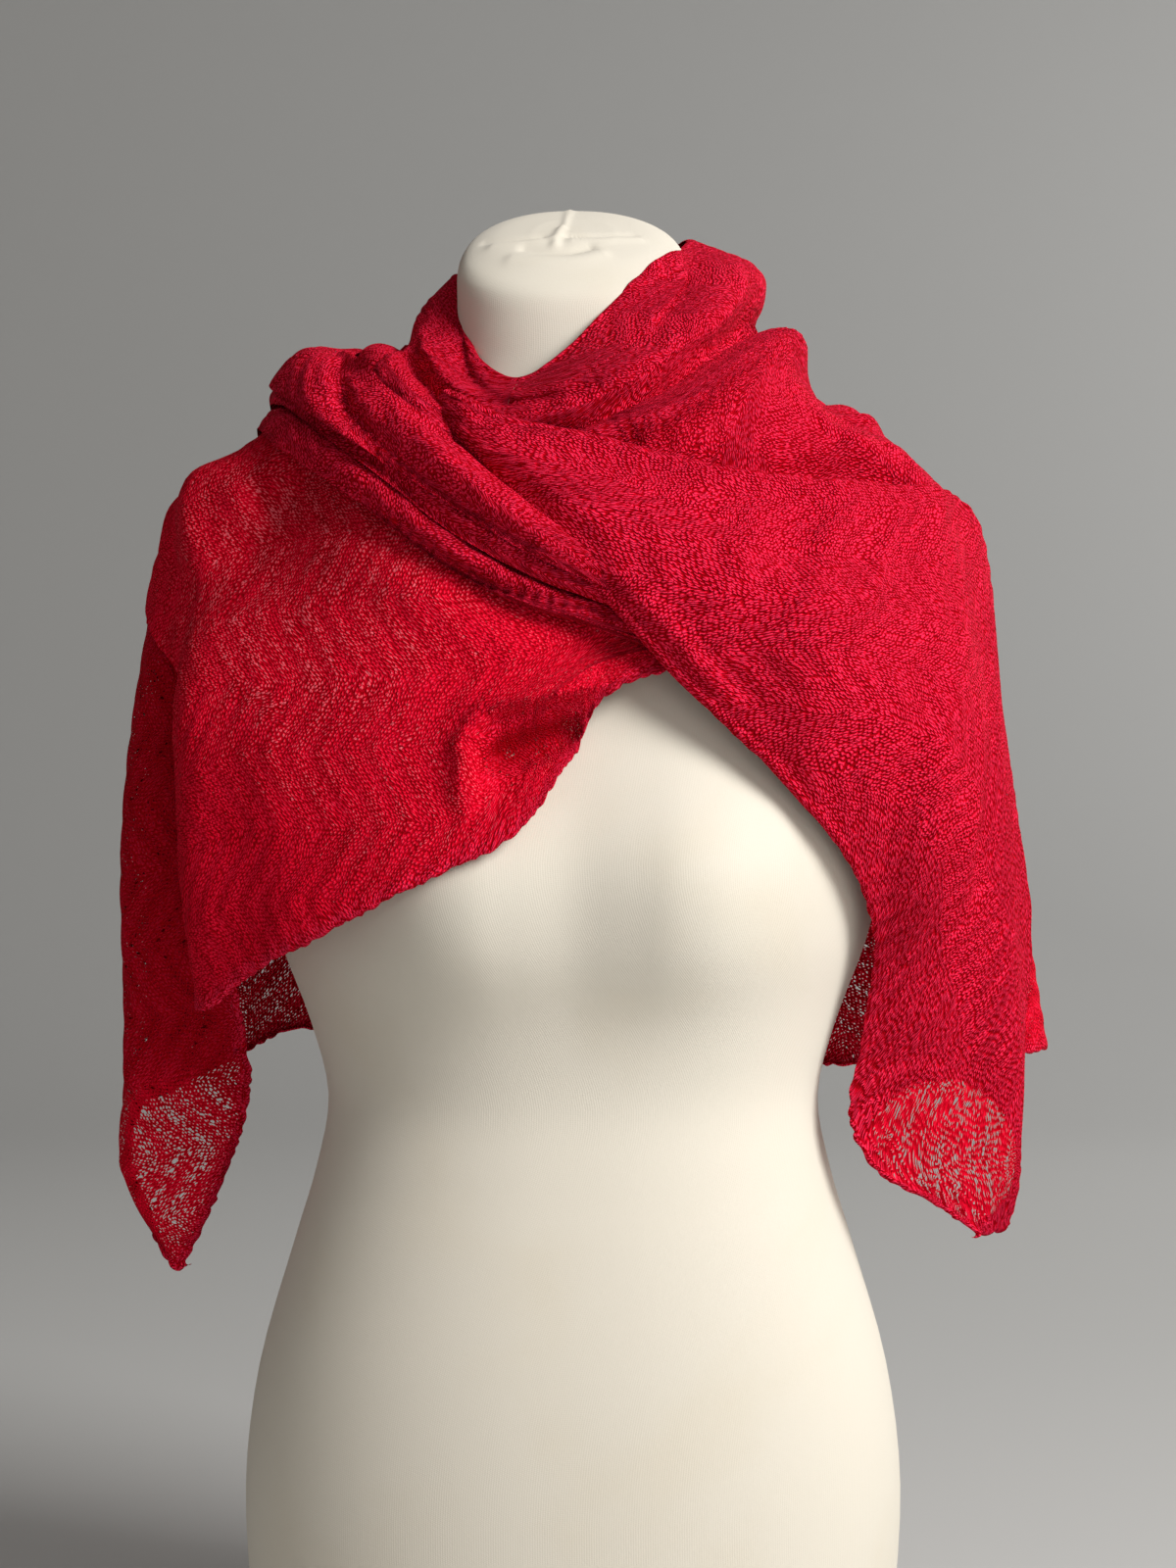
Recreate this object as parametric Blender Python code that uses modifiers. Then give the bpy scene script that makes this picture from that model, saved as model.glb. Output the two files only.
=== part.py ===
"""Lace-knit shawl wrapped round the shoulders of a limbless dress form.

The shawl is one long knitted rectangle. It is modelled as the stretches that show:
the drape over the back, the end that hangs behind the left shoulder, the front that
crosses to the left, the part over the right shoulder, three rolled folds and the cowl
round the neck, and on top of them the front that crosses to the right.
Left and right are the viewer's. Tables are in millimetres: +X right, +Y back, +Z up,
and the origin is the centre of the form's flat foot.
"""

import bmesh
import bpy
import numpy as np
from mathutils import Vector
from mathutils.bvhtree import BVHTree

for old in list(bpy.data.objects):
    bpy.data.objects.remove(old)
PART = bpy.data.collections.new("shawl_on_dress_form")
bpy.context.scene.collection.children.link(PART)

MM = 0.001  # table units to metres

CLOTH = 1.8  # the knit's wall
GAP = 0.45  # between two layers that lie on each other
LAYER = CLOTH + GAP  # from the middle of one layer to the middle of the next
SKIN = CLOTH / 2 + GAP  # from the form's surface to the middle of the first layer
REACH = 60  # how far off a layer is looked for under another
SLACK = 0.02  # added to each move that parts two layers
ROUNDS = 40  # of parting two layers, at most
MERGE = 0.00005  # points of a mesh this near are one, in metres
SHARP = 0.9  # edges of the form that turn more than this, in radians, are sharp

RED = (0.62, 0.004, 0.02, 1.0)
KNIT_ROUGHNESS = 0.9
CREAM = (0.78, 0.74, 0.66, 1.0)
JERSEY_ROUGHNESS = 0.75

# The form, ring by ring: height, half width, depth in front and behind of the middle
# plane, and how much the ring rises towards the back.
FORM_RINGS = [
    # height, half_width, front, back, rise
    (0, 148, 98, 104, 0.0),
    (4, 152, 101, 107, 0.0),
    (40, 159, 106, 114, 0.0),
    (105, 163, 108, 118, 0.0),
    (165, 156, 105, 110, 0.0),
    (225, 139, 97, 92, 0.0),
    (262, 128, 91, 81, 0.0),
    (298, 122, 87, 76, 0.0),
    (335, 131, 90, 80, 0.0),
    (375, 146, 97, 87, 0.0),
    (415, 155, 100, 92, 0.0),
    (460, 159, 96, 95, 0.0),
    (505, 163, 87, 95, 0.0),
    (545, 175, 75, 90, 0.0),
    (572, 184, 63, 82, 0.0),
    (590, 181, 55, 74, 0.0),
    (603, 170, 50, 68, 0.0),
    (615, 150, 47, 65, 0.0),
    (627, 124, 46, 63, 0.02),
    (638, 95, 46, 62, 0.06),
    (650, 70, 46, 62, 0.12),
    (666, 60, 45, 61, 0.22),
    (690, 58, 44, 60, 0.38),
    (706, 58, 43, 60, 0.5),
    (713, 56, 41, 58, 0.53),
    (718, 51, 36, 53, 0.55),
    (723, 39, 27, 41, 0.55),
    (726, 21, 14, 23, 0.55),
]
FORM_SIDES = 44
FORM_ROUNDNESS = 2.25  # 2 is an ellipse, and more is squarer
BUST_HEIGHT = 398
BUST_SIDE = 64  # from the middle
BUST_DEPTH = 27
BUST_SPREAD = 56

# The drape over the back, from its right front edge round the back to its left front
# edge: the points where it starts at the neck and on the shoulder, hangs off the shoulder
# blade, and ends.
BACK_SECTIONS = [
    # top x, y, z, shoulder x, y, z, middle x, y, z, hem x, y, z
    (146, -24, 616, 182, -20, 582, 200, -18, 470, 206, -4, 322),
    (142, 6, 632, 186, 6, 592, 212, 6, 490, 231, 10, 318),
    (136, 22, 638, 186, 32, 590, 210, 38, 490, 240, 36, 319),
    (118, 34, 646, 164, 54, 604, 186, 72, 480, 208, 76, 309),
    (92, 44, 658, 122, 72, 622, 138, 96, 480, 150, 96, 305),
    (58, 52, 676, 68, 84, 640, 72, 106, 500, 78, 108, 311),
    (0, 62, 690, 0, 92, 650, 0, 110, 510, 0, 110, 316),
    (-58, 52, 676, -68, 84, 640, -74, 106, 500, -80, 108, 320),
    (-92, 44, 658, -122, 72, 622, -140, 94, 480, -148, 94, 324),
    (-118, 34, 646, -160, 54, 604, -182, 70, 480, -184, 82, 308),
    (-134, 22, 638, -176, 30, 592, -211, 38, 490, -218, 50, 294),
    (-136, 4, 634, -174, 2, 588, -208, 8, 480, -206, 22, 298),
    (-140, -22, 616, -166, -20, 578, -186, -14, 470, -172, 12, 318),
]

# The loose end behind the left shoulder, section under section: from its front edge
# round the side to its back edge, and narrowing below to the tip.
TAIL_SECTIONS = [
    # front edge x, y, z, front x, y, z, side x, y, z, back edge x, y, z
    (-166, -22, 588, -182, 0, 602, -188, 24, 602, -170, 56, 602),
    (-172, -28, 562, -193, -4, 578, -202, 22, 580, -180, 58, 584),
    (-174, -30, 530, -203, -6, 532, -214, 22, 534, -186, 66, 540),
    (-176, -34, 466, -210, -8, 464, -224, 22, 464, -188, 72, 470),
    (-176, -30, 402, -212, -6, 402, -227, 22, 404, -194, 76, 410),
    (-172, -12, 346, -208, 2, 346, -227, 24, 350, -200, 78, 360),
    (-166, 12, 306, -204, 10, 304, -228, 25, 306, -208, 76, 322),
    (-172, 22, 276, -205, 17, 274, -230, 26, 278, -224, 64, 294),
    (-180, 26, 252, -206, 21, 250, -230, 27, 258, -230, 50, 272),
    (-191, 28, 229, -208, 25, 228, -222, 28, 238, -228, 38, 252),
    (-200, 28, 210, -204, 27, 209, -208, 28, 214, -214, 31, 224),
]

# The front that crosses to the left: from the crossing out to the shoulder and over it.
LEFT_SECTIONS = [
    # upper x, y, z, middle x, y, z, lower x, y, z
    (66, -94, 531, 66, -97, 521, 66, -100, 512),
    (38, -96, 545, 38, -98, 525, 38, -103, 505),
    (12, -96, 556, 12, -98, 521, 12, -105, 491),
    (-18, -94, 568, -12, -102, 512, -3, -113, 463),
    (-47, -88, 584, -40, -104, 506, -29, -124, 429),
    (-74, -80, 600, -72, -104, 498, -74, -122, 407),
    (-99, -62, 616, -102, -98, 492, -112, -110, 386),
    (-122, -38, 628, -128, -88, 488, -146, -90, 368),
    (-143, -8, 632, -156, -74, 486, -162, -78, 357),
    (-166, 14, 620, -179, -60, 488, -174, -67, 348),
    (-184, 28, 602, -188, -45, 490, -180, -56, 345),
    (-190, 40, 592, -188, -26, 492, -180, -42, 348),
]

# The part over the right shoulder, from the crossing line over the top to the back.
SHOULDER_SECTIONS = [
    # at the neck x, y, z, next x, y, z, crest x, y, z, dip x, y, z, tip x, y, z
    (-10, -80, 612, 30, -86, 598, 66, -84, 590, 110, -72, 584, 160, -44, 580),
    (6, -82, 622, 42, -78, 622, 78, -62, 622, 118, -44, 612, 172, -24, 588),
    (34, -74, 634, 66, -54, 647, 97, -29, 656, 124, -18, 636, 182, -6, 597),
    (74, -22, 666, 93, -8, 675, 113, 6, 672, 126, 6, 638, 186, 10, 598),
    (78, 34, 668, 94, 36, 674, 110, 38, 660, 126, 38, 632, 184, 36, 594),
    (70, 72, 660, 86, 76, 656, 104, 78, 638, 124, 68, 620, 168, 56, 592),
]

# The front that crosses to the right and hangs off the right shoulder, from the fold at
# the crossing down to the tip: its left edge, its right edge, and how far it bellies.
RIGHT_SECTIONS = [
    # left x, y, z, turn x, y, z, right x, y, z, belly
    (-72, -80, 636, -68, -78, 640, -64, -76, 643, 0),
    (-48, -98, 610, -42, -94, 616, -34, -88, 624, 1),
    (-28, -106, 588, -6, -102, 604, 10, -92, 614, 3),
    (-4, -114, 566, 30, -108, 590, 52, -94, 602, 6),
    (23, -120, 536, 70, -108, 576, 94, -84, 596, 8),
    (52, -124, 503, 112, -92, 562, 132, -64, 594, 12),
    (79, -128, 477, 156, -70, 556, 172, -32, 596, 14),
    (111, -126, 446, 190, -38, 540, 200, 12, 592, 14),
    (134, -112, 418, 207, -22, 500, 212, 30, 562, 12),
    (148, -88, 387, 213, -18, 462, 216, 30, 510, 10),
    (146, -66, 356, 216, -16, 410, 222, 26, 440, 8),
    (141, -54, 325, 218, -20, 364, 226, 14, 376, 7),
    (136, -50, 296, 219, -26, 316, 225, -4, 316, 7),
    (148, -45, 267, 217, -32, 278, 221, -20, 276, 6),
    (178, -38, 248, 214, -34, 256, 219, -28, 254, 4),
    (200, -34, 233, 210, -34, 236, 214, -32, 238, 1),
]

# The cowl: from its crest at the neck down to the edge that goes under the folds below.
# It runs round the neck from the front to the right.
COWL_SECTIONS = [
    # crest x, y, z, belly x, y, z, lower x, y, z
    (-26, -60, 646, -32, -80, 632, -38, -91, 612),
    (-3, -58, 660, 0, -88, 638, 0, -88, 608),
    (14, -48, 678, 24, -86, 648, 28, -82, 616),
    (29, -30, 694, 46, -72, 664, 50, -68, 628),
    (44, -8, 708, 65, -48, 686, 73, -46, 648),
    (57, 16, 722, 84, -14, 704, 92, -16, 672),
    (62, 38, 730, 94, 22, 712, 101, 14, 676),
    (50, 62, 728, 77, 62, 706, 88, 60, 668),
    (0, 80, 716, 0, 92, 696, 0, 100, 666),
    (-46, 64, 708, -66, 70, 694, -74, 74, 668),
    (-60, 40, 709, -76, 36, 694, -86, 34, 664),
    (-62, 16, 706, -78, 8, 686, -92, 4, 654),
    (-59, -16, 679, -75, -28, 662, -94, -40, 632),
    (-46, -42, 657, -58, -60, 642, -72, -74, 618),
]

# Rolled folds: the line under the crest, and the roll's width and height there.
ROLL_TURN = 1.4  # from the crest to each side, in radians
ROLLS = {
    "roll_lower": [
        # x, y, z, width, height
        (-140, 62, 612, 12, 3),
        (-150, 34, 622, 20, 8),
        (-146, 4, 629, 22, 11),
        (-136, -34, 622, 22, 12),
        (-118, -60, 609, 21, 12),
        (-94, -80, 591, 19, 11),
        (-66, -92, 568, 17, 10),
        (-29, -99, 545, 15, 9),
        (4, -101, 533, 13, 7),
        (38, -101, 521, 13, 5),
        (66, -98, 508, 12, 3),
    ],
    "roll_middle": [
        (-126, 64, 634, 13, 4),
        (-138, 36, 640, 22, 10),
        (-140, 6, 643, 24, 13),
        (-126, -34, 634, 23, 14),
        (-103, -64, 615, 21, 14),
        (-78, -82, 595, 19, 13),
        (-46, -95, 570, 17, 12),
        (-12, -101, 552, 15, 10),
        (22, -104, 539, 12, 7),
        (48, -102, 528, 12, 4),
    ],
    "roll_upper": [
        (92, 66, 660, 16, 4),
        (52, 84, 664, 28, 9),
        (0, 94, 666, 34, 13),
        (-44, 86, 662, 36, 16),
        (-88, 62, 656, 38, 19),
        (-118, 30, 652, 40, 22),
        (-127, -2, 647, 42, 23),
        (-114, -36, 637, 38, 22),
        (-90, -66, 619, 33, 21),
        (-64, -86, 600, 29, 18),
        (-36, -99, 580, 25, 15),
        (-8, -106, 562, 20, 11),
        (24, -106, 546, 15, 7),
        (44, -104, 536, 12, 4),
    ],
    "roll_neck": [
        (-88, 40, 660, 22, 10),
        (-96, 14, 661, 25, 13),
        (-95, -14, 654, 24, 13),
        (-86, -44, 640, 21, 12),
        (-70, -68, 624, 17, 9),
        (-52, -82, 608, 13, 3),
    ],
}

# Folds that stand off a stretch, or sink into it where the height is negative: the
# fold's width and height, and the line it follows.
FOLD_STEPS = 24  # along that line
FOLDS = {
    "back_drape": [
        (20, 5, [(-88, 96, 560), (-104, 104, 440), (-122, 104, 330)]),
        (24, -4, [(-44, 108, 520), (-52, 112, 400), (-58, 108, 320)]),
        (22, 5, [(10, 110, 480), (2, 114, 390), (-8, 110, 314)]),
        (24, 6, [(86, 96, 580), (104, 102, 450), (118, 102, 306)]),
    ],
    "left_tail": [
        (13, 4, [(-200, -6, 540), (-216, 4, 420), (-214, 14, 300), (-210, 22, 240)]),
        (12, -4, [(-192, -16, 520), (-198, -14, 400), (-192, 8, 310)]),
    ],
    "left_front": [
        (9, 10, [(4, -118, 494), (-26, -122, 488), (-46, -122, 478), (-50, -122, 458)]),
        (9, -8, [(0, -118, 476), (-22, -122, 470), (-32, -122, 458)]),
        (16, 3, [(-168, -40, 580), (-150, -90, 480), (-132, -96, 390)]),
    ],
    "right_front": [
        (15, 5, [(132, -60, 588), (120, -106, 530), (106, -122, 470)]),
        (16, 5, [(176, -26, 586), (178, -62, 500), (158, -70, 384), (170, -52, 336)]),
        (12, -4, [(196, 0, 580), (204, -30, 480), (196, -40, 380), (200, -36, 300)]),
    ],
    "right_shoulder": [
        (9, 4, [(60, -60, 642), (96, -48, 636), (140, -36, 606)]),
        (10, -3, [(60, -78, 610), (104, -62, 612), (150, -44, 594)]),
    ],
}


def smooth(points, places):
    """Points on the smooth curve through rows of points, at places counted in rows."""
    points = np.asarray(points, float)
    last = len(points) - 1
    row = np.clip(np.floor(places).astype(int), 0, last - 1)
    t = (places - row).reshape(-1, *[1] * (points.ndim - 1))
    before = points[np.maximum(row - 1, 0)]
    a, b = points[row], points[row + 1]
    after = points[np.minimum(row + 2, last)]
    slope_a, slope_b = (b - before) / 2, (after - a) / 2
    return (
        a * (2 * t**3 - 3 * t**2 + 1)
        + b * (3 * t**2 - 2 * t**3)
        + slope_a * (t**3 - 2 * t**2 + t)
        + slope_b * (t**3 - t**2)
    )


def even(points, count):
    """The smooth curve through points, cut at count + 1 evenly spaced places."""
    fine = smooth(points, np.linspace(0, len(points) - 1, 12 * len(points)))
    step = np.linalg.norm(np.diff(fine, axis=0), axis=1)
    along = np.concatenate([[0], np.cumsum(step)])
    wanted = np.linspace(0, along[-1], count + 1)
    return np.stack([np.interp(wanted, along, fine[:, k]) for k in range(3)], axis=1)


def loft(sections, rows, columns, ring=False):
    """A grid of points through the sections. A ring closes on its first section."""
    sections = [np.asarray(s, float).reshape(-1, 3) for s in sections]
    lines = np.stack([even(s, columns) for s in sections])
    if not ring:
        return smooth(lines, np.linspace(0, len(lines) - 1, rows + 1))
    count = len(lines)
    lines = np.concatenate([lines[-2:], lines, lines[:3]])
    return smooth(lines, np.linspace(2, count + 2, rows + 1))


def tree_of(grid):
    """A search tree on a grid of points, as a surface without thickness. Each square
    is four triangles, cut both ways across."""
    rows, columns = grid.shape[:2]
    at = np.arange(rows * columns).reshape(rows, columns)
    a, b, c, d = at[:-1, :-1], at[:-1, 1:], at[1:, 1:], at[1:, :-1]
    faces = np.stack([a, b, c, a, c, d, a, b, d, b, c, d], axis=-1).reshape(-1, 3)
    return BVHTree.FromPolygons([Vector(p) for p in grid.reshape(-1, 3)], faces.tolist())


def halved(grid):
    """The grid with a point added halfway along each side and in each square."""
    rows, columns = grid.shape[:2]
    fine = np.zeros((2 * rows - 1, 2 * columns - 1, 3))
    fine[::2, ::2] = grid
    fine[1::2, ::2] = (grid[:-1] + grid[1:]) / 2
    fine[:, 1::2] = (fine[:, :-1:2] + fine[:, 2::2]) / 2
    return fine


def off_the_form(point):
    """The direction straight off the form at a point."""
    near, normal, _, _ = FORM.find_nearest(Vector(point))
    away = Vector(point) - near
    return (away if away.dot(normal) > 0.5 else normal).normalized()


def lifted(grid, under):
    """The grid pushed straight out until it is above the form and what is under it."""
    grid = grid.copy()
    for turn in range(3):
        push = np.zeros(grid.shape[:2])
        out = np.zeros(grid.shape)
        for i, j in np.ndindex(*push.shape):
            point = Vector(grid[i, j])
            away = off_the_form(point)
            need = SKIN - (point - FORM.find_nearest(point)[0]).dot(away)
            for tree, _ in under:
                hit = tree.ray_cast(point + away * REACH, -away, 2 * REACH)[0]
                if hit:
                    need = max(need, (hit - point).dot(away) + LAYER)
            push[i, j], out[i, j] = max(need, 0), away
        if turn < 2:
            around = np.pad(push, 1, mode="edge")
            mean = around[:-2, 1:-1] + around[2:, 1:-1] + around[1:-1, :-2] + around[1:-1, 2:]
            push = np.maximum(push, (mean + 2 * push) / 6)
        grid += out * push[..., None]
    return grid


def parted(grid, under):
    """The grid moved off the form and the layers under it wherever the walls touch,
    also between its points and theirs."""
    grid = grid.copy()
    rows, columns = grid.shape[:2]
    others = [(FORM, FORM_POINTS, SKIN)] + [(tree, at, LAYER) for tree, at in under]
    for _ in range(ROUNDS):
        moves = np.zeros((rows, columns, 3))
        fine, mine = halved(grid), tree_of(grid)
        low, high = grid.min(axis=(0, 1)) - LAYER, grid.max(axis=(0, 1)) + LAYER
        for tree, points, clear in others:
            for i, j in np.ndindex(*fine.shape[:2]):
                point = Vector(fine[i, j])
                near = tree.find_nearest(point, clear)[0]
                if near:
                    move = apart(point, near, clear)
                    for r, c in {(i // 2, j // 2), ((i + 1) // 2, (j + 1) // 2)}:
                        larger(moves, r, c, move)
            inside = points[((points > low) & (points < high)).all(axis=1)]
            for point in inside:
                point = Vector(point)
                near, _, face, _ = mine.find_nearest(point, clear)
                if near:
                    move = apart(near, point, clear)
                    r, c = divmod(face // 4, columns - 1)
                    for corner in ((r, c), (r + 1, c), (r, c + 1), (r + 1, c + 1)):
                        larger(moves, *corner, move)
        if not moves.any():
            break
        grid += moves
    return grid


def apart(point, near, clear):
    """The move that takes a point of the upper layer the clear distance off a near one."""
    away = off_the_form(point)
    gap = point - near
    if gap.dot(away) < 0.1 * gap.length or gap.length < SLACK:
        return away * (clear + SLACK - gap.dot(away))
    return gap.normalized() * (clear + SLACK - gap.length)


def larger(moves, row, column, move):
    """Keeps the larger of two moves of one point."""
    if move.length > np.linalg.norm(moves[row, column]):
        moves[row, column] = move


def folded(grid, name):
    """The grid with the folds of that name pushed out of it or into it."""
    grid = grid.copy()
    for width, height, line in FOLDS.get(name, ()):
        line = even(line, FOLD_STEPS)
        gap = np.linalg.norm(grid[:, :, None] - line, axis=3)
        share = np.exp(-((gap.min(axis=2) / width) ** 2))
        for i, j in np.argwhere(share > 0.02):
            grid[i, j] += np.array(off_the_form(grid[i, j])) * height * share[i, j]
    return grid


def form_grid():
    """The form's rings as a grid of points, closed round and open at both ends."""
    turn = np.linspace(0, 2 * np.pi, FORM_SIDES + 1)
    power = 2 / FORM_ROUNDNESS
    side = np.sign(np.cos(turn)) * np.abs(np.cos(turn)) ** power
    deep = np.sign(np.sin(turn)) * np.abs(np.sin(turn)) ** power
    rings = []
    for height, half_width, front, back, rise in FORM_RINGS:
        x = half_width * side
        y = np.where(deep < 0, front, back) * deep
        bust = sum(
            np.exp(-(((x - s) / BUST_SPREAD) ** 2) - ((height - BUST_HEIGHT) / BUST_SPREAD) ** 2)
            for s in (-BUST_SIDE, BUST_SIDE)
        )
        y = y - np.where(deep < 0, BUST_DEPTH * bust * np.abs(deep), 0)
        rings.append(np.stack([x, y, height + rise * y], axis=1))
    return np.array(rings)


def mesh_from(grid, name, rgba, roughness):
    """An object whose mesh is a plain grid with its points moved to the given ones."""
    rows, columns = grid.shape[:2]
    bm = bmesh.new()
    bmesh.ops.create_grid(bm, x_segments=columns - 1, y_segments=rows - 1, size=1)
    for vertex, point in zip(bm.verts, grid.reshape(-1, 3)):
        vertex.co = Vector(point) * MM
    bmesh.ops.remove_doubles(bm, verts=bm.verts, dist=MERGE)
    bmesh.ops.recalc_face_normals(bm, faces=bm.faces)
    mesh = bpy.data.meshes.new(name)
    bm.to_mesh(mesh)
    bm.free()
    mesh.shade_smooth()
    material = bpy.data.materials.new(name)
    material.use_nodes = True
    shader = material.node_tree.nodes["Principled BSDF"]
    shader.inputs["Base Color"].default_value = rgba
    shader.inputs["Roughness"].default_value = roughness
    mesh.materials.append(material)
    made = bpy.data.objects.new(name, mesh)
    PART.objects.link(made)
    return made


def cloth(grid, name):
    """A wall of knit whose middle is the grid."""
    made = mesh_from(grid, name, RED, KNIT_ROUGHNESS)
    wall = made.modifiers.new("wall", "SOLIDIFY")
    wall.thickness = CLOTH * MM
    wall.offset = 0


def roll(stations, rows, columns):
    """The arch of a rolled fold: stations of x, y, z, width and height."""
    line = smooth(stations, np.linspace(0, len(stations) - 1, rows + 1))
    centre, width, height = line[:, :3], line[:, 3], line[:, 4]
    ahead = np.gradient(centre, axis=0)
    ahead /= np.linalg.norm(ahead, axis=1, keepdims=True)
    outward = np.array([off_the_form(p) for p in centre])
    outward -= (outward * ahead).sum(1, keepdims=True) * ahead
    outward /= np.linalg.norm(outward, axis=1, keepdims=True)
    aside = np.cross(ahead, outward)
    angle = np.linspace(-ROLL_TURN, ROLL_TURN, columns + 1)
    return (
        centre[:, None]
        + aside[:, None] * (np.sin(angle)[None] * width[:, None] / 2)[..., None]
        + outward[:, None] * (np.cos(angle)[None] * height[:, None])[..., None]
    )


def belly(left, turn, right, bulge):
    """A section from the left edge to the turn and the right edge. It stands off the
    straight line between the first two by the bulge."""
    left, turn = np.array(left, float), np.array(turn, float)
    shares = np.linspace(0, 1, 4)
    line = left + (turn - left) * shares[:, None]
    out = np.array([off_the_form(p) for p in line])
    line = line + out * (bulge * np.sin(np.pi * shares))[:, None]
    return np.concatenate([line, [right]])


def dress_form(rings):
    """The form, its ends closed flat."""
    made = mesh_from(rings, "dress_form", CREAM, JERSEY_ROUGHNESS)
    bm = bmesh.new()
    bm.from_mesh(made.data)
    bmesh.ops.holes_fill(bm, edges=[e for e in bm.edges if e.is_boundary])
    bmesh.ops.recalc_face_normals(bm, faces=bm.faces)
    bm.to_mesh(made.data)
    bm.free()
    made.data.set_sharp_from_angle(angle=SHARP)


def add(name, grid):
    """Lays a stretch of the shawl over what is there, and makes it."""
    laid = parted(lifted(folded(grid, name), LAYERS), LAYERS)
    cloth(laid, name)
    LAYERS.append((tree_of(laid), halved(laid).reshape(-1, 3)))


FORM_RINGS_AT = form_grid()
FORM = tree_of(FORM_RINGS_AT)
FORM_POINTS = halved(FORM_RINGS_AT).reshape(-1, 3)
LAYERS = []  # of the shawl, from the form outwards

dress_form(FORM_RINGS_AT)
add("back_drape", loft(BACK_SECTIONS, rows=40, columns=14))
add("left_tail", loft(TAIL_SECTIONS, rows=20, columns=12))
add("left_front", loft(LEFT_SECTIONS, rows=28, columns=16))
add("right_shoulder", loft(SHOULDER_SECTIONS, rows=14, columns=16))
add("roll_lower", roll(ROLLS["roll_lower"], rows=26, columns=8))
add("roll_middle", roll(ROLLS["roll_middle"], rows=26, columns=8))
add("roll_neck", roll(ROLLS["roll_neck"], rows=16, columns=8))
add("cowl", loft(COWL_SECTIONS, rows=44, columns=9, ring=True))
add("roll_upper", roll(ROLLS["roll_upper"], rows=32, columns=8))
bellied = [belly(r[0:3], r[3:6], r[6:9], r[9]) for r in RIGHT_SECTIONS]
add("right_front", loft(bellied, rows=40, columns=14))
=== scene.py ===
# %% [markdown]
# # A lace-knit shawl on a dress form
#
# The object is one long knitted rectangle, wrapped crosswise round the shoulders of a
# limbless dress form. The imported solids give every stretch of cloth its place. This
# lesson gives each one its fine shape, its rolled hem and its knit, and the form its
# jersey cover. Left and right are the viewer's, and tables are in millimetres.

import math

import bmesh
import bpy
import numpy as np
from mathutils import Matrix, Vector
from mathutils.bvhtree import BVHTree


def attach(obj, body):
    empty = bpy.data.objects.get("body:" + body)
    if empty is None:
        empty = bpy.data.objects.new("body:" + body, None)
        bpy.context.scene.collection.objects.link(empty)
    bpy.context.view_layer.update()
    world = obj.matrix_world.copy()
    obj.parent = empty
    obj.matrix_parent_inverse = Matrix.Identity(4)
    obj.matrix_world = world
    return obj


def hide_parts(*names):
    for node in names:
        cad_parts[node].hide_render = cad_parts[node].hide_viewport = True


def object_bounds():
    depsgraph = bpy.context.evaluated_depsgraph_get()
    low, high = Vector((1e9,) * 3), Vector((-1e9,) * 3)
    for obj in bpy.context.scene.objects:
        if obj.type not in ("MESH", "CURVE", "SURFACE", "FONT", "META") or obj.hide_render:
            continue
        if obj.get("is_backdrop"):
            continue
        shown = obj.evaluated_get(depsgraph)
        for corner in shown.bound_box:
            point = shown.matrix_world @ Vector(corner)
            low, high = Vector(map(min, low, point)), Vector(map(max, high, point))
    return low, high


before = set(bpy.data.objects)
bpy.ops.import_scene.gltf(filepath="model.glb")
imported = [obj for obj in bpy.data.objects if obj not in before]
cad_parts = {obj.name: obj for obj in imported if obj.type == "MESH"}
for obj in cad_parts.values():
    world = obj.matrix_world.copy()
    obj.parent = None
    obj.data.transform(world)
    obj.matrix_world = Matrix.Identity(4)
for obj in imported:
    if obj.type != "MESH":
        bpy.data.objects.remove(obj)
CAD_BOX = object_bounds()
MM = 0.001
print("solids:", ", ".join(sorted(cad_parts)))

# %% [markdown]
# ## Smooth surfaces from a few sections
#
# Draped cloth has no straight edge to start from. A few lines across each stretch say
# where it goes, and a smooth curve through each line, then through all the lines, gives
# a grid of points. A spline surface could do the same. A plain grid was chosen because
# folds, hems and the knit's own coordinates are easy to work out on it.

# %% Curves and lofts
def smooth(points, places):
    """Points on the smooth curve through rows of points, at places counted in rows."""
    points = np.asarray(points, float)
    last = len(points) - 1
    row = np.clip(np.floor(places).astype(int), 0, last - 1)
    t = (places - row).reshape(-1, *[1] * (points.ndim - 1))
    before = points[np.maximum(row - 1, 0)]
    a, b = points[row], points[row + 1]
    after = points[np.minimum(row + 2, last)]
    slope_a, slope_b = (b - before) / 2, (after - a) / 2
    return (
        a * (2 * t**3 - 3 * t**2 + 1)
        + b * (3 * t**2 - 2 * t**3)
        + slope_a * (t**3 - 2 * t**2 + t)
        + slope_b * (t**3 - t**2)
    )


def even(points, count):
    """The smooth curve through points, cut at count + 1 evenly spaced places."""
    fine = smooth(points, np.linspace(0, len(points) - 1, 12 * len(points)))
    step = np.linalg.norm(np.diff(fine, axis=0), axis=1)
    along = np.concatenate([[0], np.cumsum(step)])
    wanted = np.linspace(0, along[-1], count + 1)
    return np.stack([np.interp(wanted, along, fine[:, k]) for k in range(3)], axis=1)


def unit(vectors):
    """Rows of vectors, each made one long."""
    return vectors / np.maximum(np.linalg.norm(vectors, axis=1, keepdims=True), 1e-9)


def loft(sections, rows, columns, ring=False):
    """A grid of points through the sections. A ring closes on its first section."""
    sections = [np.asarray(s, float).reshape(-1, 3) for s in sections]
    lines = np.stack([even(s, columns) for s in sections])
    if not ring:
        return smooth(lines, np.linspace(0, len(lines) - 1, rows + 1))
    count = len(lines)
    lines = np.concatenate([lines[-2:], lines, lines[:3]])
    return smooth(lines, np.linspace(2, count + 2, rows + 1))


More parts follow.
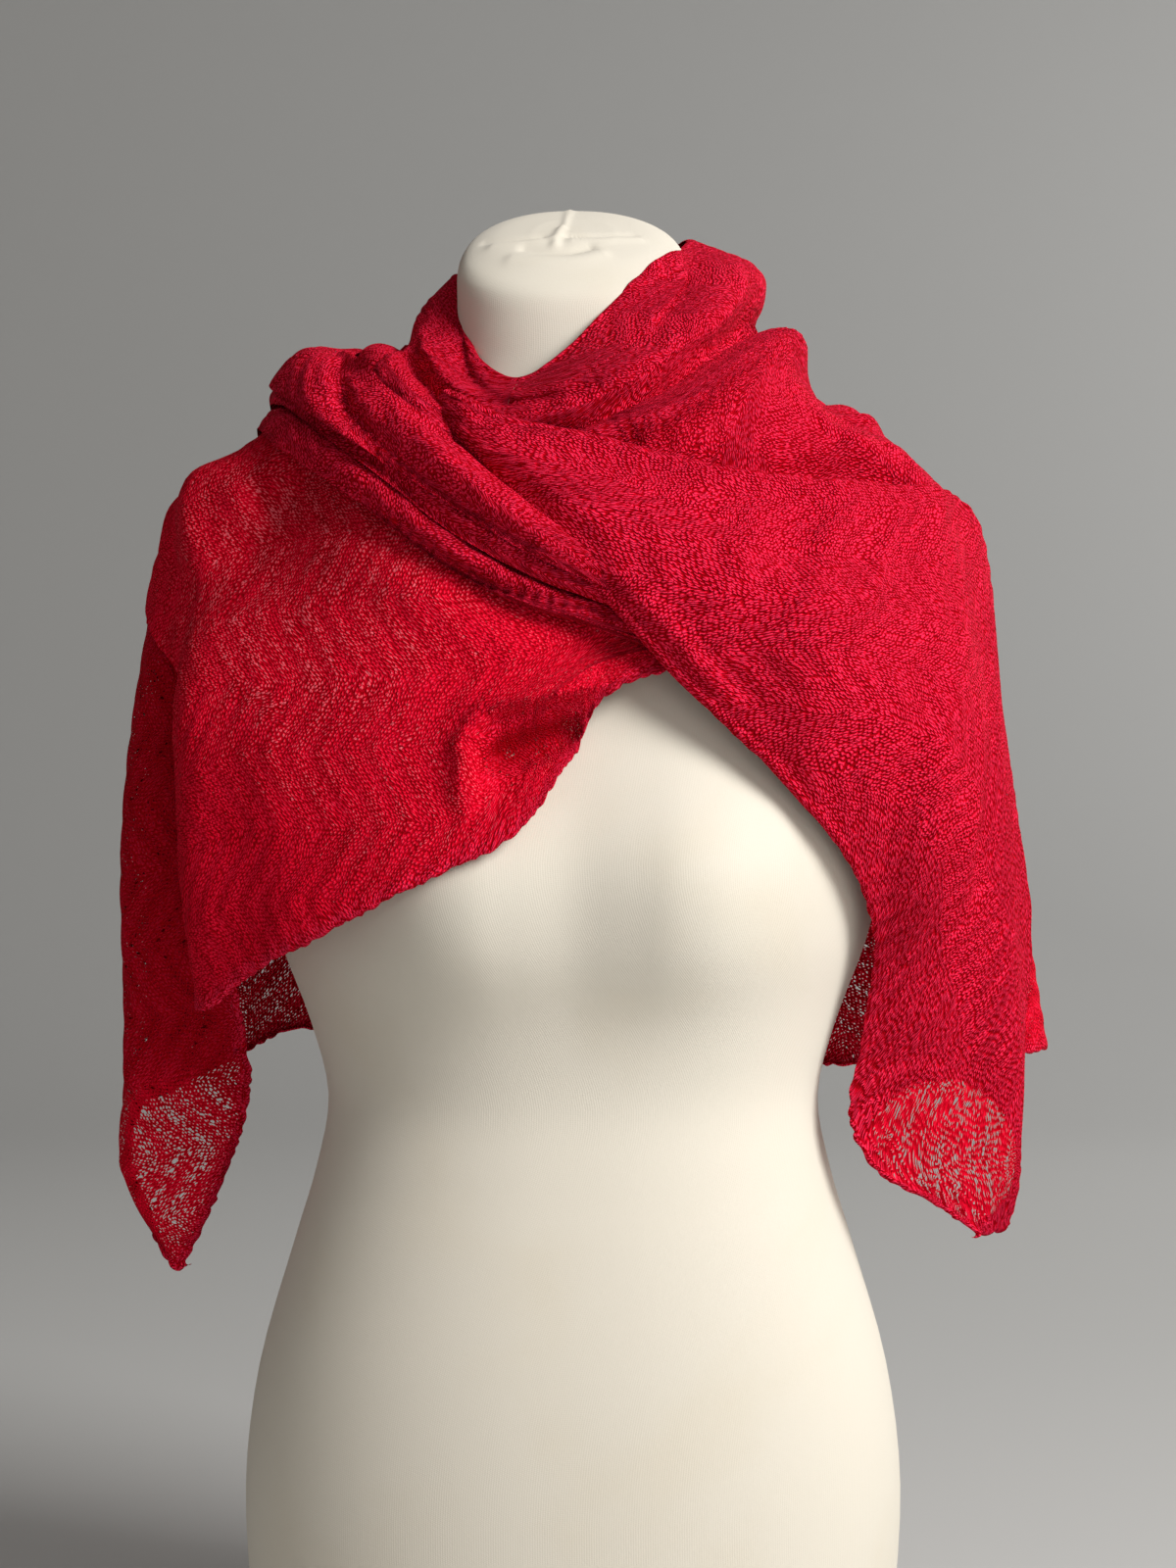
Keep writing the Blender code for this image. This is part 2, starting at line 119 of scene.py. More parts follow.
# %% [markdown]
# ## The dress form
#
# The form is a firm foam body under stretched jersey. Its surface is a stack of rings:
# each has a height, a half width, and a depth in front and behind. Rings could be
# sculpted or turned, but a table keeps the measures of a real form readable.

# %% Rings of the form
# Height, half width, depth in front and behind of the middle plane, and how much the
# ring rises towards the back.
FORM_RINGS = [
    # height, half_width, front, back, rise
    (0, 148, 98, 104, 0.0),
    (4, 152, 101, 107, 0.0),
    (40, 159, 106, 114, 0.0),
    (105, 163, 108, 118, 0.0),
    (165, 156, 105, 110, 0.0),
    (225, 139, 97, 92, 0.0),
    (262, 128, 91, 81, 0.0),
    (298, 122, 87, 76, 0.0),
    (335, 131, 90, 80, 0.0),
    (375, 146, 97, 87, 0.0),
    (415, 155, 100, 92, 0.0),
    (460, 159, 96, 95, 0.0),
    (505, 163, 87, 95, 0.0),
    (545, 175, 75, 90, 0.0),
    (572, 184, 63, 82, 0.0),
    (590, 181, 55, 74, 0.0),
    (603, 170, 50, 68, 0.0),
    (615, 150, 47, 65, 0.0),
    (627, 124, 46, 63, 0.02),
    (638, 95, 46, 62, 0.06),
    (650, 70, 46, 62, 0.12),
    (666, 60, 45, 61, 0.22),
    (690, 58, 44, 60, 0.38),
    (706, 58, 43, 60, 0.5),
    (713, 56, 41, 58, 0.53),
    (718, 51, 36, 53, 0.55),
    (723, 39, 27, 41, 0.55),
    (726, 21, 14, 23, 0.55),
]

FORM_SIDES = 44
FORM_ROUNDNESS = 2.25  # 2 is an ellipse, and more is squarer
BUST_HEIGHT = 398
BUST_SIDE = 64  # from the middle
BUST_DEPTH = 27
BUST_SPREAD = 56


def form_grid():
    """The form's rings as a grid of points, closed round and open at both ends."""
    turn = np.linspace(0, 2 * np.pi, FORM_SIDES + 1)
    power = 2 / FORM_ROUNDNESS
    side = np.sign(np.cos(turn)) * np.abs(np.cos(turn)) ** power
    deep = np.sign(np.sin(turn)) * np.abs(np.sin(turn)) ** power
    rings = []
    for height, half_width, front, back, rise in FORM_RINGS:
        x = half_width * side
        y = np.where(deep < 0, front, back) * deep
        bust = sum(
            np.exp(-(((x - s) / BUST_SPREAD) ** 2) - ((height - BUST_HEIGHT) / BUST_SPREAD) ** 2)
            for s in (-BUST_SIDE, BUST_SIDE)
        )
        y = y - np.where(deep < 0, BUST_DEPTH * bust * np.abs(deep), 0)
        rings.append(np.stack([x, y, height + rise * y], axis=1))
    return np.array(rings)


FORM_RINGS_AT = form_grid()
print("form rings:", FORM_RINGS_AT.shape)

# %% [markdown]
# ## Laying one stretch of cloth over another
#
# Cloth rests on what is under it. Each stretch starts as a smooth surface, and is then
# pushed straight off the form until it clears the form and the stretches below. A cloth
# simulation could settle it too, but it would slide away from the folds that the
# photograph shows, so the main folds are placed one by one.

# %% Distances between layers
CLOTH = 1.8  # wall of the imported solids
GAP = 0.45  # between two of them
LAYER = CLOTH + GAP
SKIN = CLOTH / 2 + GAP
REACH = 60  # how far off a layer is looked for under another
SLACK = 0.02  # added to each move that parts two layers
ROUNDS = 40  # of parting two layers, at most
CLOSE, FINE_CLOSE = 0.5, 1  # to a form, where its normal says what is straight off it


# %% Trees that answer where a surface is
def tree_of(grid):
    """A search tree on a grid of points, as a surface without thickness. Each square
    is four triangles, cut both ways across."""
    rows, columns = grid.shape[:2]
    at = np.arange(rows * columns).reshape(rows, columns)
    a, b, c, d = at[:-1, :-1], at[:-1, 1:], at[1:, 1:], at[1:, :-1]
    faces = np.stack([a, b, c, a, c, d, a, b, d, b, c, d], axis=-1).reshape(-1, 3)
    return BVHTree.FromPolygons([Vector(p) for p in grid.reshape(-1, 3)], faces.tolist())


def halved(grid):
    """The grid with a point added halfway along each side and in each square."""
    rows, columns = grid.shape[:2]
    fine = np.zeros((2 * rows - 1, 2 * columns - 1, 3))
    fine[::2, ::2] = grid
    fine[1::2, ::2] = (grid[:-1] + grid[1:]) / 2
    fine[:, 1::2] = (fine[:, :-1:2] + fine[:, 2::2]) / 2
    return fine


def straight_off(tree, point, close):
    """The direction straight off a surface, which is its normal where a point is close."""
    near, normal, _, _ = tree.find_nearest(Vector(point))
    away = Vector(point) - near
    return (away if away.dot(normal) > close else normal).normalized()


def off_the_form(point):
    return straight_off(FORM, point, CLOSE)


def beside(numbers):
    """The sum of the four numbers next to each one of a grid."""
    around = np.pad(numbers, 1, mode="edge")
    return around[:-2, 1:-1] + around[2:, 1:-1] + around[1:-1, :-2] + around[1:-1, 2:]


def push_needed(point, away, form, skin, trees, layer, above, below):
    """How far a point has to go straight out to be the skin off the form and the layer
    off the trees. They are looked for so far above it and below it."""
    near = form.find_nearest(point, above)[0]
    need = max(skin - (point - near).dot(away), 0) if near else 0
    for tree in trees:
        hit = tree.ray_cast(point + away * above, -away, above + below)[0]
        if hit:
            need = max(need, (hit - point).dot(away) + layer)
    return need


def lifted(grid, under):
    """The grid pushed straight out until it is above the form and what is under it."""
    grid = grid.copy()
    trees = [tree for tree, _ in under]
    for turn in range(3):
        push = np.zeros(grid.shape[:2])
        out = np.zeros(grid.shape)
        for i, j in np.ndindex(*push.shape):
            point = Vector(grid[i, j])
            away = off_the_form(point)
            push[i, j] = push_needed(point, away, FORM, SKIN, trees, LAYER, REACH, REACH)
            out[i, j] = away
        if turn < 2:
            push = np.maximum(push, (beside(push) + 2 * push) / 6)
        grid += out * push[..., None]
    return grid


# %% Parting two layers that still touch
def parted(grid, under):
    """The grid moved off the form and the layers under it wherever the walls touch,
    also between its points and theirs."""
    grid = grid.copy()
    rows, columns = grid.shape[:2]
    others = [(FORM, FORM_POINTS, SKIN)] + [(tree, at, LAYER) for tree, at in under]
    for _ in range(ROUNDS):
        moves = np.zeros((rows, columns, 3))
        fine, mine = halved(grid), tree_of(grid)
        low, high = grid.min(axis=(0, 1)) - LAYER, grid.max(axis=(0, 1)) + LAYER
        for tree, points, clear in others:
            for i, j in np.ndindex(*fine.shape[:2]):
                point = Vector(fine[i, j])
                near = tree.find_nearest(point, clear)[0]
                if near:
                    move = apart(point, near, clear)
                    for r, c in {(i // 2, j // 2), ((i + 1) // 2, (j + 1) // 2)}:
                        larger(moves, r, c, move)
            inside = points[((points > low) & (points < high)).all(axis=1)]
            for point in inside:
                point = Vector(point)
                near, _, face, _ = mine.find_nearest(point, clear)
                if near:
                    move = apart(near, point, clear)
                    r, c = divmod(face // 4, columns - 1)
                    for corner in ((r, c), (r + 1, c), (r, c + 1), (r + 1, c + 1)):
                        larger(moves, *corner, move)
        if not moves.any():
            break
        grid += moves
    return grid


def apart(point, near, clear):
    """The move that takes a point of the upper layer the clear distance off a near one."""
    away = off_the_form(point)
    gap = point - near
    if gap.dot(away) < 0.1 * gap.length or gap.length < SLACK:
        return away * (clear + SLACK - gap.dot(away))
    return gap.normalized() * (clear + SLACK - gap.length)


def larger(moves, row, column, move):
    """Keeps the larger of two moves of one point."""
    if move.length > np.linalg.norm(moves[row, column]):
        moves[row, column] = move


# %% Main folds
FOLD_STEPS = 24  # along a fold's line
FOLDS = {
    "back_drape": [
        (20, 5, [(-88, 96, 560), (-104, 104, 440), (-122, 104, 330)]),
        (24, -4, [(-44, 108, 520), (-52, 112, 400), (-58, 108, 320)]),
        (22, 5, [(10, 110, 480), (2, 114, 390), (-8, 110, 314)]),
        (24, 6, [(86, 96, 580), (104, 102, 450), (118, 102, 306)]),
    ],
    "left_tail": [
        (13, 4, [(-200, -6, 540), (-216, 4, 420), (-214, 14, 300), (-210, 22, 240)]),
        (12, -4, [(-192, -16, 520), (-198, -14, 400), (-192, 8, 310)]),
    ],
    "left_front": [
        (9, 10, [(4, -118, 494), (-26, -122, 488), (-46, -122, 478), (-50, -122, 458)]),
        (9, -8, [(0, -118, 476), (-22, -122, 470), (-32, -122, 458)]),
        (16, 3, [(-168, -40, 580), (-150, -90, 480), (-132, -96, 390)]),
    ],
    "right_front": [
        (15, 5, [(132, -60, 588), (120, -106, 530), (106, -122, 470)]),
        (16, 5, [(176, -26, 586), (178, -62, 500), (158, -70, 384), (170, -52, 336)]),
        (12, -4, [(196, 0, 580), (204, -30, 480), (196, -40, 380), (200, -36, 300)]),
    ],
    "right_shoulder": [
        (9, 4, [(60, -60, 642), (96, -48, 636), (140, -36, 606)]),
        (10, -3, [(60, -78, 610), (104, -62, 612), (150, -44, 594)]),
    ],
}


def folded(grid, name):
    """The grid with the folds of that name pushed out of it or into it."""
    grid = grid.copy()
    for width, height, line in FOLDS.get(name, ()):
        line = even(line, FOLD_STEPS)
        gap = np.linalg.norm(grid[:, :, None] - line, axis=3)
        share = np.exp(-((gap.min(axis=2) / width) ** 2))
        for i, j in np.argwhere(share > 0.02):
            grid[i, j] += np.array(off_the_form(grid[i, j])) * height * share[i, j]
    return grid


FORM = tree_of(FORM_RINGS_AT)
FORM_POINTS = halved(FORM_RINGS_AT).reshape(-1, 3)
LAYERS = []  # of the shawl, from the form outwards


def laid(name, grid):
    """The stretch laid over what is there already."""
    made = parted(lifted(folded(grid, name), LAYERS), LAYERS)
    LAYERS.append((tree_of(made), halved(made).reshape(-1, 3)))
    return made


# %% [markdown]
# ## Fine shape
#
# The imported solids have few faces. Here each grid is cut finer through the same points.
# Then come the small folds, the faint ribs of the zigzag knit and the rolled hems,
# which is how an unblocked knit edge curls. Modelled ribs catch the light at a low
# angle, where bump alone looks painted on.

# %% Cutting a grid finer
def finer(grid, times, ring=False):
    """The grid with each square cut smoothly into times[0] by times[1]."""
    pad = 2 if ring else 0
    if ring:
        grid = np.concatenate([grid[-3:-1], grid, grid[1:3]])
    rows = np.linspace(pad, len(grid) - 1 - pad, (len(grid) - 1 - 2 * pad) * times[0] + 1)
    grid = smooth(grid, rows).swapaxes(0, 1)
    columns = np.linspace(0, len(grid) - 1, (len(grid) - 1) * times[1] + 1)
    return smooth(grid, columns).swapaxes(0, 1)


FINE_FORM_AT = finer(FORM_RINGS_AT, (4, 4))
FINE_FORM = tree_of(FINE_FORM_AT)
print("fine form:", FINE_FORM_AT.shape)


def outward(grid):
    """The direction straight off the form at each point of a grid."""
    out = np.zeros(grid.shape)
    for i, j in np.ndindex(*grid.shape[:2]):
        out[i, j] = straight_off(FINE_FORM, grid[i, j], FINE_CLOSE)
    return out


def arcs(grid, turn=0):
    """Real lengths across the knit's ribs and along them, from the grid's middle. The
    ribs run down the columns, or are turned away from that by so many degrees."""
    across = np.linalg.norm(np.diff(grid, axis=1), axis=2)
    down = np.linalg.norm(np.diff(grid, axis=0), axis=2)
    u = np.pad(np.cumsum(across, axis=1), ((0, 0), (1, 0)))
    v = np.pad(np.cumsum(down, axis=0), ((1, 0), (0, 0)))
    middle = [n // 2 for n in grid.shape[:2]]
    u, v = u - u[:, middle[1], None], v - v[middle[0]][None]
    c, s = math.cos(math.radians(turn)), math.sin(math.radians(turn))
    return c * u + s * v, c * v - s * u


# %% Zigzag ribs of the knit
ZIGZAG = 12  # how far a rib goes to each side
ZIGZAG_LENGTH = 72  # of one zig and zag
RIB_PITCH = 14


def zigzag(u, v):
    """How far across the ribs a place on the cloth is, in ribs."""
    share = v / ZIGZAG_LENGTH
    return (u + ZIGZAG * (4 * np.abs(share - np.floor(share) - 0.5) - 1)) / RIB_PITCH


# %% Small folds
FRONT_TO = 20  # depth up to which a place counts as in front


def onto(grid, line):
    """Points of x and z moved to the nearest place of the grid, seen from the front."""
    flat = grid.reshape(-1, 3)
    flat = flat[flat[:, 1] < FRONT_TO]
    found = []
    for x, z in line:
        found.append(flat[np.argmin((flat[:, 0] - x) ** 2 + (flat[:, 2] - z) ** 2)])
    return np.array(found)


def creased(grid, out, folds):
    """The grid with small folds: each has a width on its left and on its right, seen
    along its line, a height, and its line of x and z on the front."""
    total = np.zeros(grid.shape[:2])
    for left, right, height, line in folds:
        line = even(onto(grid, line), FOLD_STEPS)
        ahead = unit(np.gradient(line, axis=0))
        gap = grid[:, :, None] - line
        length = np.linalg.norm(gap, axis=3)
        nearest = length.argmin(axis=2)
        gap = np.take_along_axis(gap, nearest[..., None, None], 2)[:, :, 0]
        aside = np.cross(ahead[nearest], out)
        on_right = (gap * aside).sum(axis=2) > 0
        width = np.where(on_right, right, left)
        fade = np.sin(np.pi * np.clip(nearest / FOLD_STEPS, 0.04, 0.96)) ** 0.5
        total += height * fade * np.exp(-((length.min(axis=2) / width) ** 2))
    return grid + out * total[..., None]


# %% Settling the fine surface
FINE_SKIN = 0.7  # from the form to the cloth
FINE_LAYER = 1.1  # from cloth to cloth
NEAR = 12  # how far off another surface is looked for
FINE_LAYERS = {}  # each layer's tree and the corners of its box


def settled(name, grid, out, sunk_in):
    """The fine grid pushed off the form and the fine layers under it, save those that
    it is sunk in."""
    grid = grid.copy()
    low, high = grid.reshape(-1, 3).min(0) - NEAR, grid.reshape(-1, 3).max(0) + NEAR
    under = [
        tree
        for other, (tree, a, b) in FINE_LAYERS.items()
        if (a < high).all() and (b > low).all() and other not in sunk_in
    ]
    for turn in range(2):
        push = np.zeros(grid.shape[:2])
        for i, j in np.ndindex(*push.shape):
            push[i, j] = push_needed(
                Vector(grid[i, j]), Vector(out[i, j]),
                FINE_FORM, FINE_SKIN, under, FINE_LAYER, NEAR, FINE_LAYER,
            )
        for _ in range(3 - 2 * turn):
            push = np.maximum(push, beside(push) / 4)
        grid += out * push[..., None]
    flat = grid.reshape(-1, 3)
    FINE_LAYERS[name] = (tree_of(grid), flat.min(0), flat.max(0))
    return grid


# %% Rolled hems and turned edges
HEM_STEPS = 8
EDGE_TURN = 2.6  # radians that an edge turns under
SCALLOP = 8.0  # length of one small wave along a free hem
SCALLOP_REACH = 1.7  # how far a wave stands out of the hem
SCALLOP_RISE = 0.9


def hemmed(grid, out, side, radii):
    """The grid with an edge added along one side: first, last, left or right. Radii are
    spread evenly along it. A free hem has a radius above 0 and ends in small waves. A
    folded edge has one below 0. Both turn under."""
    turned = side in ("left", "right")
    if turned:
        grid, out = grid.swapaxes(0, 1), out.swapaxes(0, 1)
    if side in ("first", "left"):
        grid, out = grid[::-1], out[::-1]
    edge, normal = grid[-1], out[-1]
    ahead = edge - grid[-3]
    ahead = unit(ahead - (ahead * normal).sum(1, keepdims=True) * normal)
    along = np.concatenate([[0], np.cumsum(np.linalg.norm(np.diff(edge, axis=0), axis=1))])
    radii = np.atleast_1d(radii).astype(float)
    radius = np.interp(along / along[-1], np.linspace(0, 1, len(radii)), radii)
    free = np.clip(radius, 0, 1)
    wander = 1.3 * np.sin(along / 17.0) + 0.8 * np.sin(along / 5.3)
    wave = np.abs(np.sin(np.pi * along / SCALLOP + wander)) * free
    wave = wave * (0.45 + 0.55 * np.sin(along / 11.0) ** 2)
    size = np.abs(radius) * (1 + (0.35 * wave + 0.2 * np.sin(along / 9.7)) * free)
    rows, outs = [grid], [out]
    for share in np.linspace(0, 1, HEM_STEPS + 1)[1:]:
        angle = share * EDGE_TURN
        swell = SCALLOP_RISE * wave * math.sin(math.pi * min(1.4 * share, 1))
        step = ahead * (size * math.sin(angle) + SCALLOP_REACH * wave * share**0.5)[:, None]
        rise = normal * (swell - size * (1 - math.cos(angle)))[:, None]
        rows.append((edge + step + rise)[None])
        outs.append(normal[None])
    grid, out = np.concatenate(rows), np.concatenate(outs)
    if side in ("first", "left"):
        grid, out = grid[::-1], out[::-1]
    if turned:
        grid, out = grid.swapaxes(0, 1), out.swapaxes(0, 1)
    return grid, out


# %% Making the mesh
WELD = 0.00005  # metres between points that are joined


def mesh_of(grid, values=None, turn=0):
    """A mesh whose plain grid is moved to the points, with real lengths as its UV map
    and named numbers on its points."""
    rows, columns = grid.shape[:2]
    u, v = arcs(grid, turn)
    bm = bmesh.new()
    bmesh.ops.create_grid(bm, x_segments=columns - 1, y_segments=rows - 1, size=1)
    bm.verts.ensure_lookup_table()
    uv = bm.loops.layers.uv.new("lengths")
    places = np.stack([u.ravel(), v.ravel()], axis=1) * MM
    for vertex, point in zip(bm.verts, grid.reshape(-1, 3)):
        vertex.co = Vector(point) * MM
    for face in bm.faces:
        for loop in face.loops:
            loop[uv].uv = places[loop.vert.index]
    for key, numbers in (values or {}).items():
        layer = bm.verts.layers.float.new(key)
        for vertex, number in zip(bm.verts, numbers.ravel()):
            vertex[layer] = number
    bm.normal_update()
    return bm


def placed(name, data):
    """An object with that data, in the scene."""
    made = bpy.data.objects.new(name, data)
    bpy.context.scene.collection.objects.link(made)
    return made


def object_of(name, bm, material):
    """A finished object, smooth shaded, at the origin."""
    mesh = bpy.data.meshes.new(name)
    bm.to_mesh(mesh)
    bm.free()
    mesh.shade_smooth()
    mesh.materials.append(material)
    return placed(name, mesh)


# %% [markdown]
# ## Shader sums written as plain expressions
#
# A knit pattern is arithmetic on the cloth's own coordinates. Drawing dozens of Math
# nodes by hand is slow to read, so one small class wraps a socket and lets Python's own
# operators add the nodes.

# %% A socket that does sums
class Yarn:
    """One output of a shader node. Sums on it add Math nodes."""

    def __init__(self, finish, socket):
        self.finish, self.socket = finish, socket

    def math(self, operation, *terms):
        settings = {"operation": operation}
        return self.finish.node("ShaderNodeMath", settings, dict(enumerate(terms)))

    def beside(self, name):
        """Another output of the same node."""
        return Yarn(self.finish, self.socket.node.outputs[name])

    def step(self, low, high):
        """0 at low and 1 at high, with a soft rise between them."""
        settings = {"interpolation_type": "SMOOTHSTEP"}
        return self.finish.node("ShaderNodeMapRange", settings, {0: self, 1: low, 2: high})


METHODS = {
    "__add__": "ADD",
    "__sub__": "SUBTRACT",
    "__mul__": "MULTIPLY",
    "__truediv__": "DIVIDE",
    "__pow__": "POWER",
    "size": "ABSOLUTE",
    "floor": "FLOOR",
    "fract": "FRACT",
    "cos": "COSINE",
    "larger": "MAXIMUM",
}


def give(name, operation):
    """Gives Yarn a method. An operator also works with the yarn on its right."""
    setattr(Yarn, name, lambda self, *rest: self.math(operation, self, *rest))
    if name.startswith("__"):
        reflected = name.replace("__", "__r", 1)
        setattr(Yarn, reflected, lambda self, *rest: self.math(operation, *rest, self))


for name, operation in METHODS.items():
    give(name, operation)


class Finish:
    """A procedural material and the nodes in it."""

    def __init__(self, name):
        self.material = bpy.data.materials.new(name)
        self.material.use_nodes = True
        self.tree = self.material.node_tree
        self.shader = self.tree.nodes["Principled BSDF"]

    def node(self, kind, settings=None, values=None, out=0):
        made = self.tree.nodes.new(kind)
        for key, value in (settings or {}).items():
            setattr(made, key, value)
        for key, value in (values or {}).items():
            self.plug(made.inputs[key], value)
        return Yarn(self, made.outputs[out])

    def plug(self, socket, value):
        if isinstance(value, Yarn):
            self.tree.links.new(value.socket, socket)
        else:
            socket.default_value = value

    def surface(self, **values):
        """Values or yarns for the main shader's sockets, with _ for a space."""
        for key, value in values.items():
            self.plug(self.shader.inputs[key.replace("_", " ")], value)

    def blend(self, share, a, b):
        return self.node("ShaderNodeMix", {"data_type": "RGBA"}, {0: share, 6: a, 7: b}, out=2)

    def lengths(self):
        """The cloth's own two coordinates, in millimetres."""
        uv = self.node("ShaderNodeUVMap", {"uv_map": "lengths"})
        parts = [self.node("ShaderNodeSeparateXYZ", None, {0: uv}, out=k) for k in (0, 1)]
        return [part * (1 / MM) for part in parts]

    def point(self, x, y):
        return self.node("ShaderNodeCombineXYZ", None, {0: x, 1: y})

    def noise(self, place, scale, detail=2.0):
        values = {"Vector": place, "Scale": scale, "Detail": detail}
        return self.node("ShaderNodeTexNoise", None, values)

    def chance(self, x, y):
        """A number from 0 to 1 that stays the same all over one stitch."""
        settings = {"noise_dimensions": "2D"}
        return self.node("ShaderNodeTexWhiteNoise", settings, {"Vector": self.point(x, y)})

    def bump(self, height):
        """The normal for a relief given in millimetres."""
        values = {"Strength": 1.0, "Distance": MM, "Height": height}
        return self.node("ShaderNodeBump", None, values)


# %% [markdown]
# ## The knit
#
# The shawl is fine wool in a zigzag lace: columns of stitches lean one way and then the
# other, rows of small holes follow them, and denser ribs stand between. Where two layers
# lie together no hole shows through, and the surface looks like rows of small nubs. An
# image of a knit would repeat and blur. Here each stitch is worked out from the cloth's
# own lengths, so it keeps its real size of about two millimetres everywhere.

# %% Stitches and holes
STITCH_WIDTH = 1.9
STITCH_HEIGHT = 1.9
EYELET_PITCH = 4.6
WOOL = (0.90, 0.0024, 0.026, 1)
# painted shade of the wool, between the nubs and where a fold or a dark space behind darkens it
WOOL_PAINTED_SHADE = (0.33, 0.0003, 0.004, 1)
# a painted sheen on the fluff of the nub tops
FLUFF_PAINTED_SHEEN = (1.0, 0.028, 0.095, 1)
# the jersey seen in a hole, painted pink and bright with the light that comes through the knit
# and bounces off it
JERSEY_WITH_PAINTED_BOUNCE = (0.95, 0.115, 0.155, 1)
WANDER_ACROSS, WANDER_ALONG = 14.0, 10.0  # how far the ribs stray, in all


def knit_finish():
    """The wool lace. The attribute lace opens its holes, from 0 to 1. A second attribute
    is 1 where the cloth lies tight on the form: there a hole shows the jersey, painted
    with the light that comes through the knit and bounces off it, instead of opening.
    Below 0 it is painted shade, for wool with a dark space behind it, where less light
    comes back through, and for a pocket under a fold. Where hem is 1 the knit is dense
    and full, and gets painted light."""
    f = Finish("wool lace")
    u, v = f.lengths()
    wander = f.noise(f.point(u, v), 0.03) - 0.5
    u, v = u + wander * WANDER_ACROSS, v + wander * WANDER_ALONG
    cloth = f.point(u, v)
    share = v / ZIGZAG_LENGTH
    lean = (share.fract() - 0.5).size() * 4.0 - 1.0
    rib = (u + lean * ZIGZAG) / RIB_PITCH
    lace, backing_and_painted_light, hem = (
        f.node("ShaderNodeAttribute", {"attribute_name": name}, out=2)
        for name in ("lace", "backing_and_painted_light", "hem")
    )
    open_band = (rib * (2 * math.pi)).cos() * 0.5 + 0.5
    # painted shade where the second attribute is below 0
    painted_shade = (backing_and_painted_light * -1.0).larger(0.0)
    backing_and_painted_light = backing_and_painted_light.larger(0.0)

    # each stitch is a nub, and courses of them follow the ribs
    column, row = rib * (RIB_PITCH / STITCH_WIDTH), v / STITCH_HEIGHT
    row = row + (column.fract() - 0.5).size() * 0.8
    values = {"Vector": f.point(column, row), "Scale": 1.0, "Randomness": 0.55}
    nub_far = f.node("ShaderNodeTexVoronoi", {"voronoi_dimensions": "2D"}, values)
    luck = nub_far.beside("Color")
    nub = 1.0 - nub_far.step(0.12, 0.62)
    course = (row * (2 * math.pi)).cos()

    # small holes lie between the stitches, more of them in the open bands
    drift = f.noise(cloth, 0.05)
    width = open_band * 0.12 + (luck - 0.5) * 0.38 + (drift - 0.5) * 0.5 + 0.13
    width = width * lace - (1.0 - lace) * 0.10
    small = 1.0 - (nub_far - width).step(-0.07, 0.07)

    # a line of large holes runs along the middle of each open band
    line = (rib + 0.5).floor()
    across = (rib - line) * RIB_PITCH
    eyelet_row = v / EYELET_PITCH + line * 0.37
    eyelet_luck = f.chance(line, eyelet_row.floor())
    along = (eyelet_row.fract() - 0.5) * EYELET_PITCH
    reach = (across * across + along * along) ** 0.5
    eyelet = reach - (eyelet_luck * 1.2 - 0.35)
    large = 1.0 - (reach - (eyelet_luck * 1.9 - 0.75) * lace).step(-0.15, 0.12)
    hole = small.larger(large) * lace.step(0.02, 0.12)

    # the colour goes from painted shade between the nubs and along the courses to a
    # painted sheen on the fluff of their tops, with the random tone of stitches and fibres.
    # The open bands, where the ribs lie low, get painted shade, there is painted shade round
    # each large hole, and the free hems get painted light
    fibres = f.noise(cloth, 1.1, 3.0)
    calm = lace.larger(backing_and_painted_light * 0.85)
    shade = nub * 1.5 + course * 0.25 + (fibres - 0.5) * 1.9 + (luck - 0.5) * 0.8
    shade = shade - open_band * 0.2 - 0.14
    # painted light along the free hems
    shade = shade * (1.0 - calm * 0.7) + calm * 0.27 + hem * 0.22
    shade = shade - (1.0 - eyelet.step(-0.3, 0.4)) * 0.4 - (drift - 0.5) * 0.3
    colour = f.blend(shade.step(-0.1, 0.75), WOOL_PAINTED_SHADE, WOOL)
    colour = f.blend(shade.step(0.45, 1.25), colour, FLUFF_PAINTED_SHEEN)
    # the painted shade darkens the wool
    colour = f.blend(painted_shade * 0.6, colour, WOOL_PAINTED_SHADE)
    # a hole over the form shows the jersey with that painted light, instead of opening
    colour = f.blend(hole * backing_and_painted_light, colour, JERSEY_WITH_PAINTED_BOUNCE)
    height = (nub * 0.9 + fibres * 0.6) * (1.0 - calm * 0.6) - open_band * 0.3 - large * 0.3
    f.surface(
        Base_Color=colour,
        Roughness=0.85 + (fibres - 0.5) * 0.2,
        Alpha=1.0 - hole * (1.0 - backing_and_painted_light),
        Normal=f.bump(height),
        Specular_IOR_Level=0.03,
    )
    return f.material


WOOL_LACE = knit_finish()
print("knit nodes:", len(WOOL_LACE.node_tree.nodes))

# %% [markdown]
# ## The form's jersey
#
# A cover of fine cotton jersey is stretched over the foam. Its thin upright ribs are
# about a millimetre apart, and years of pinning leave it faintly uneven and yellowed.

# %% Jersey finish
JERSEY = (0.75, 0.70, 0.605, 1)
JERSEY_WORN_AND_PAINTED_SHADE = (0.70, 0.625, 0.49, 1)
JERSEY_RIB, JERSEY_LOOP = 1.15, 0.9  # width of one rib and height of one loop


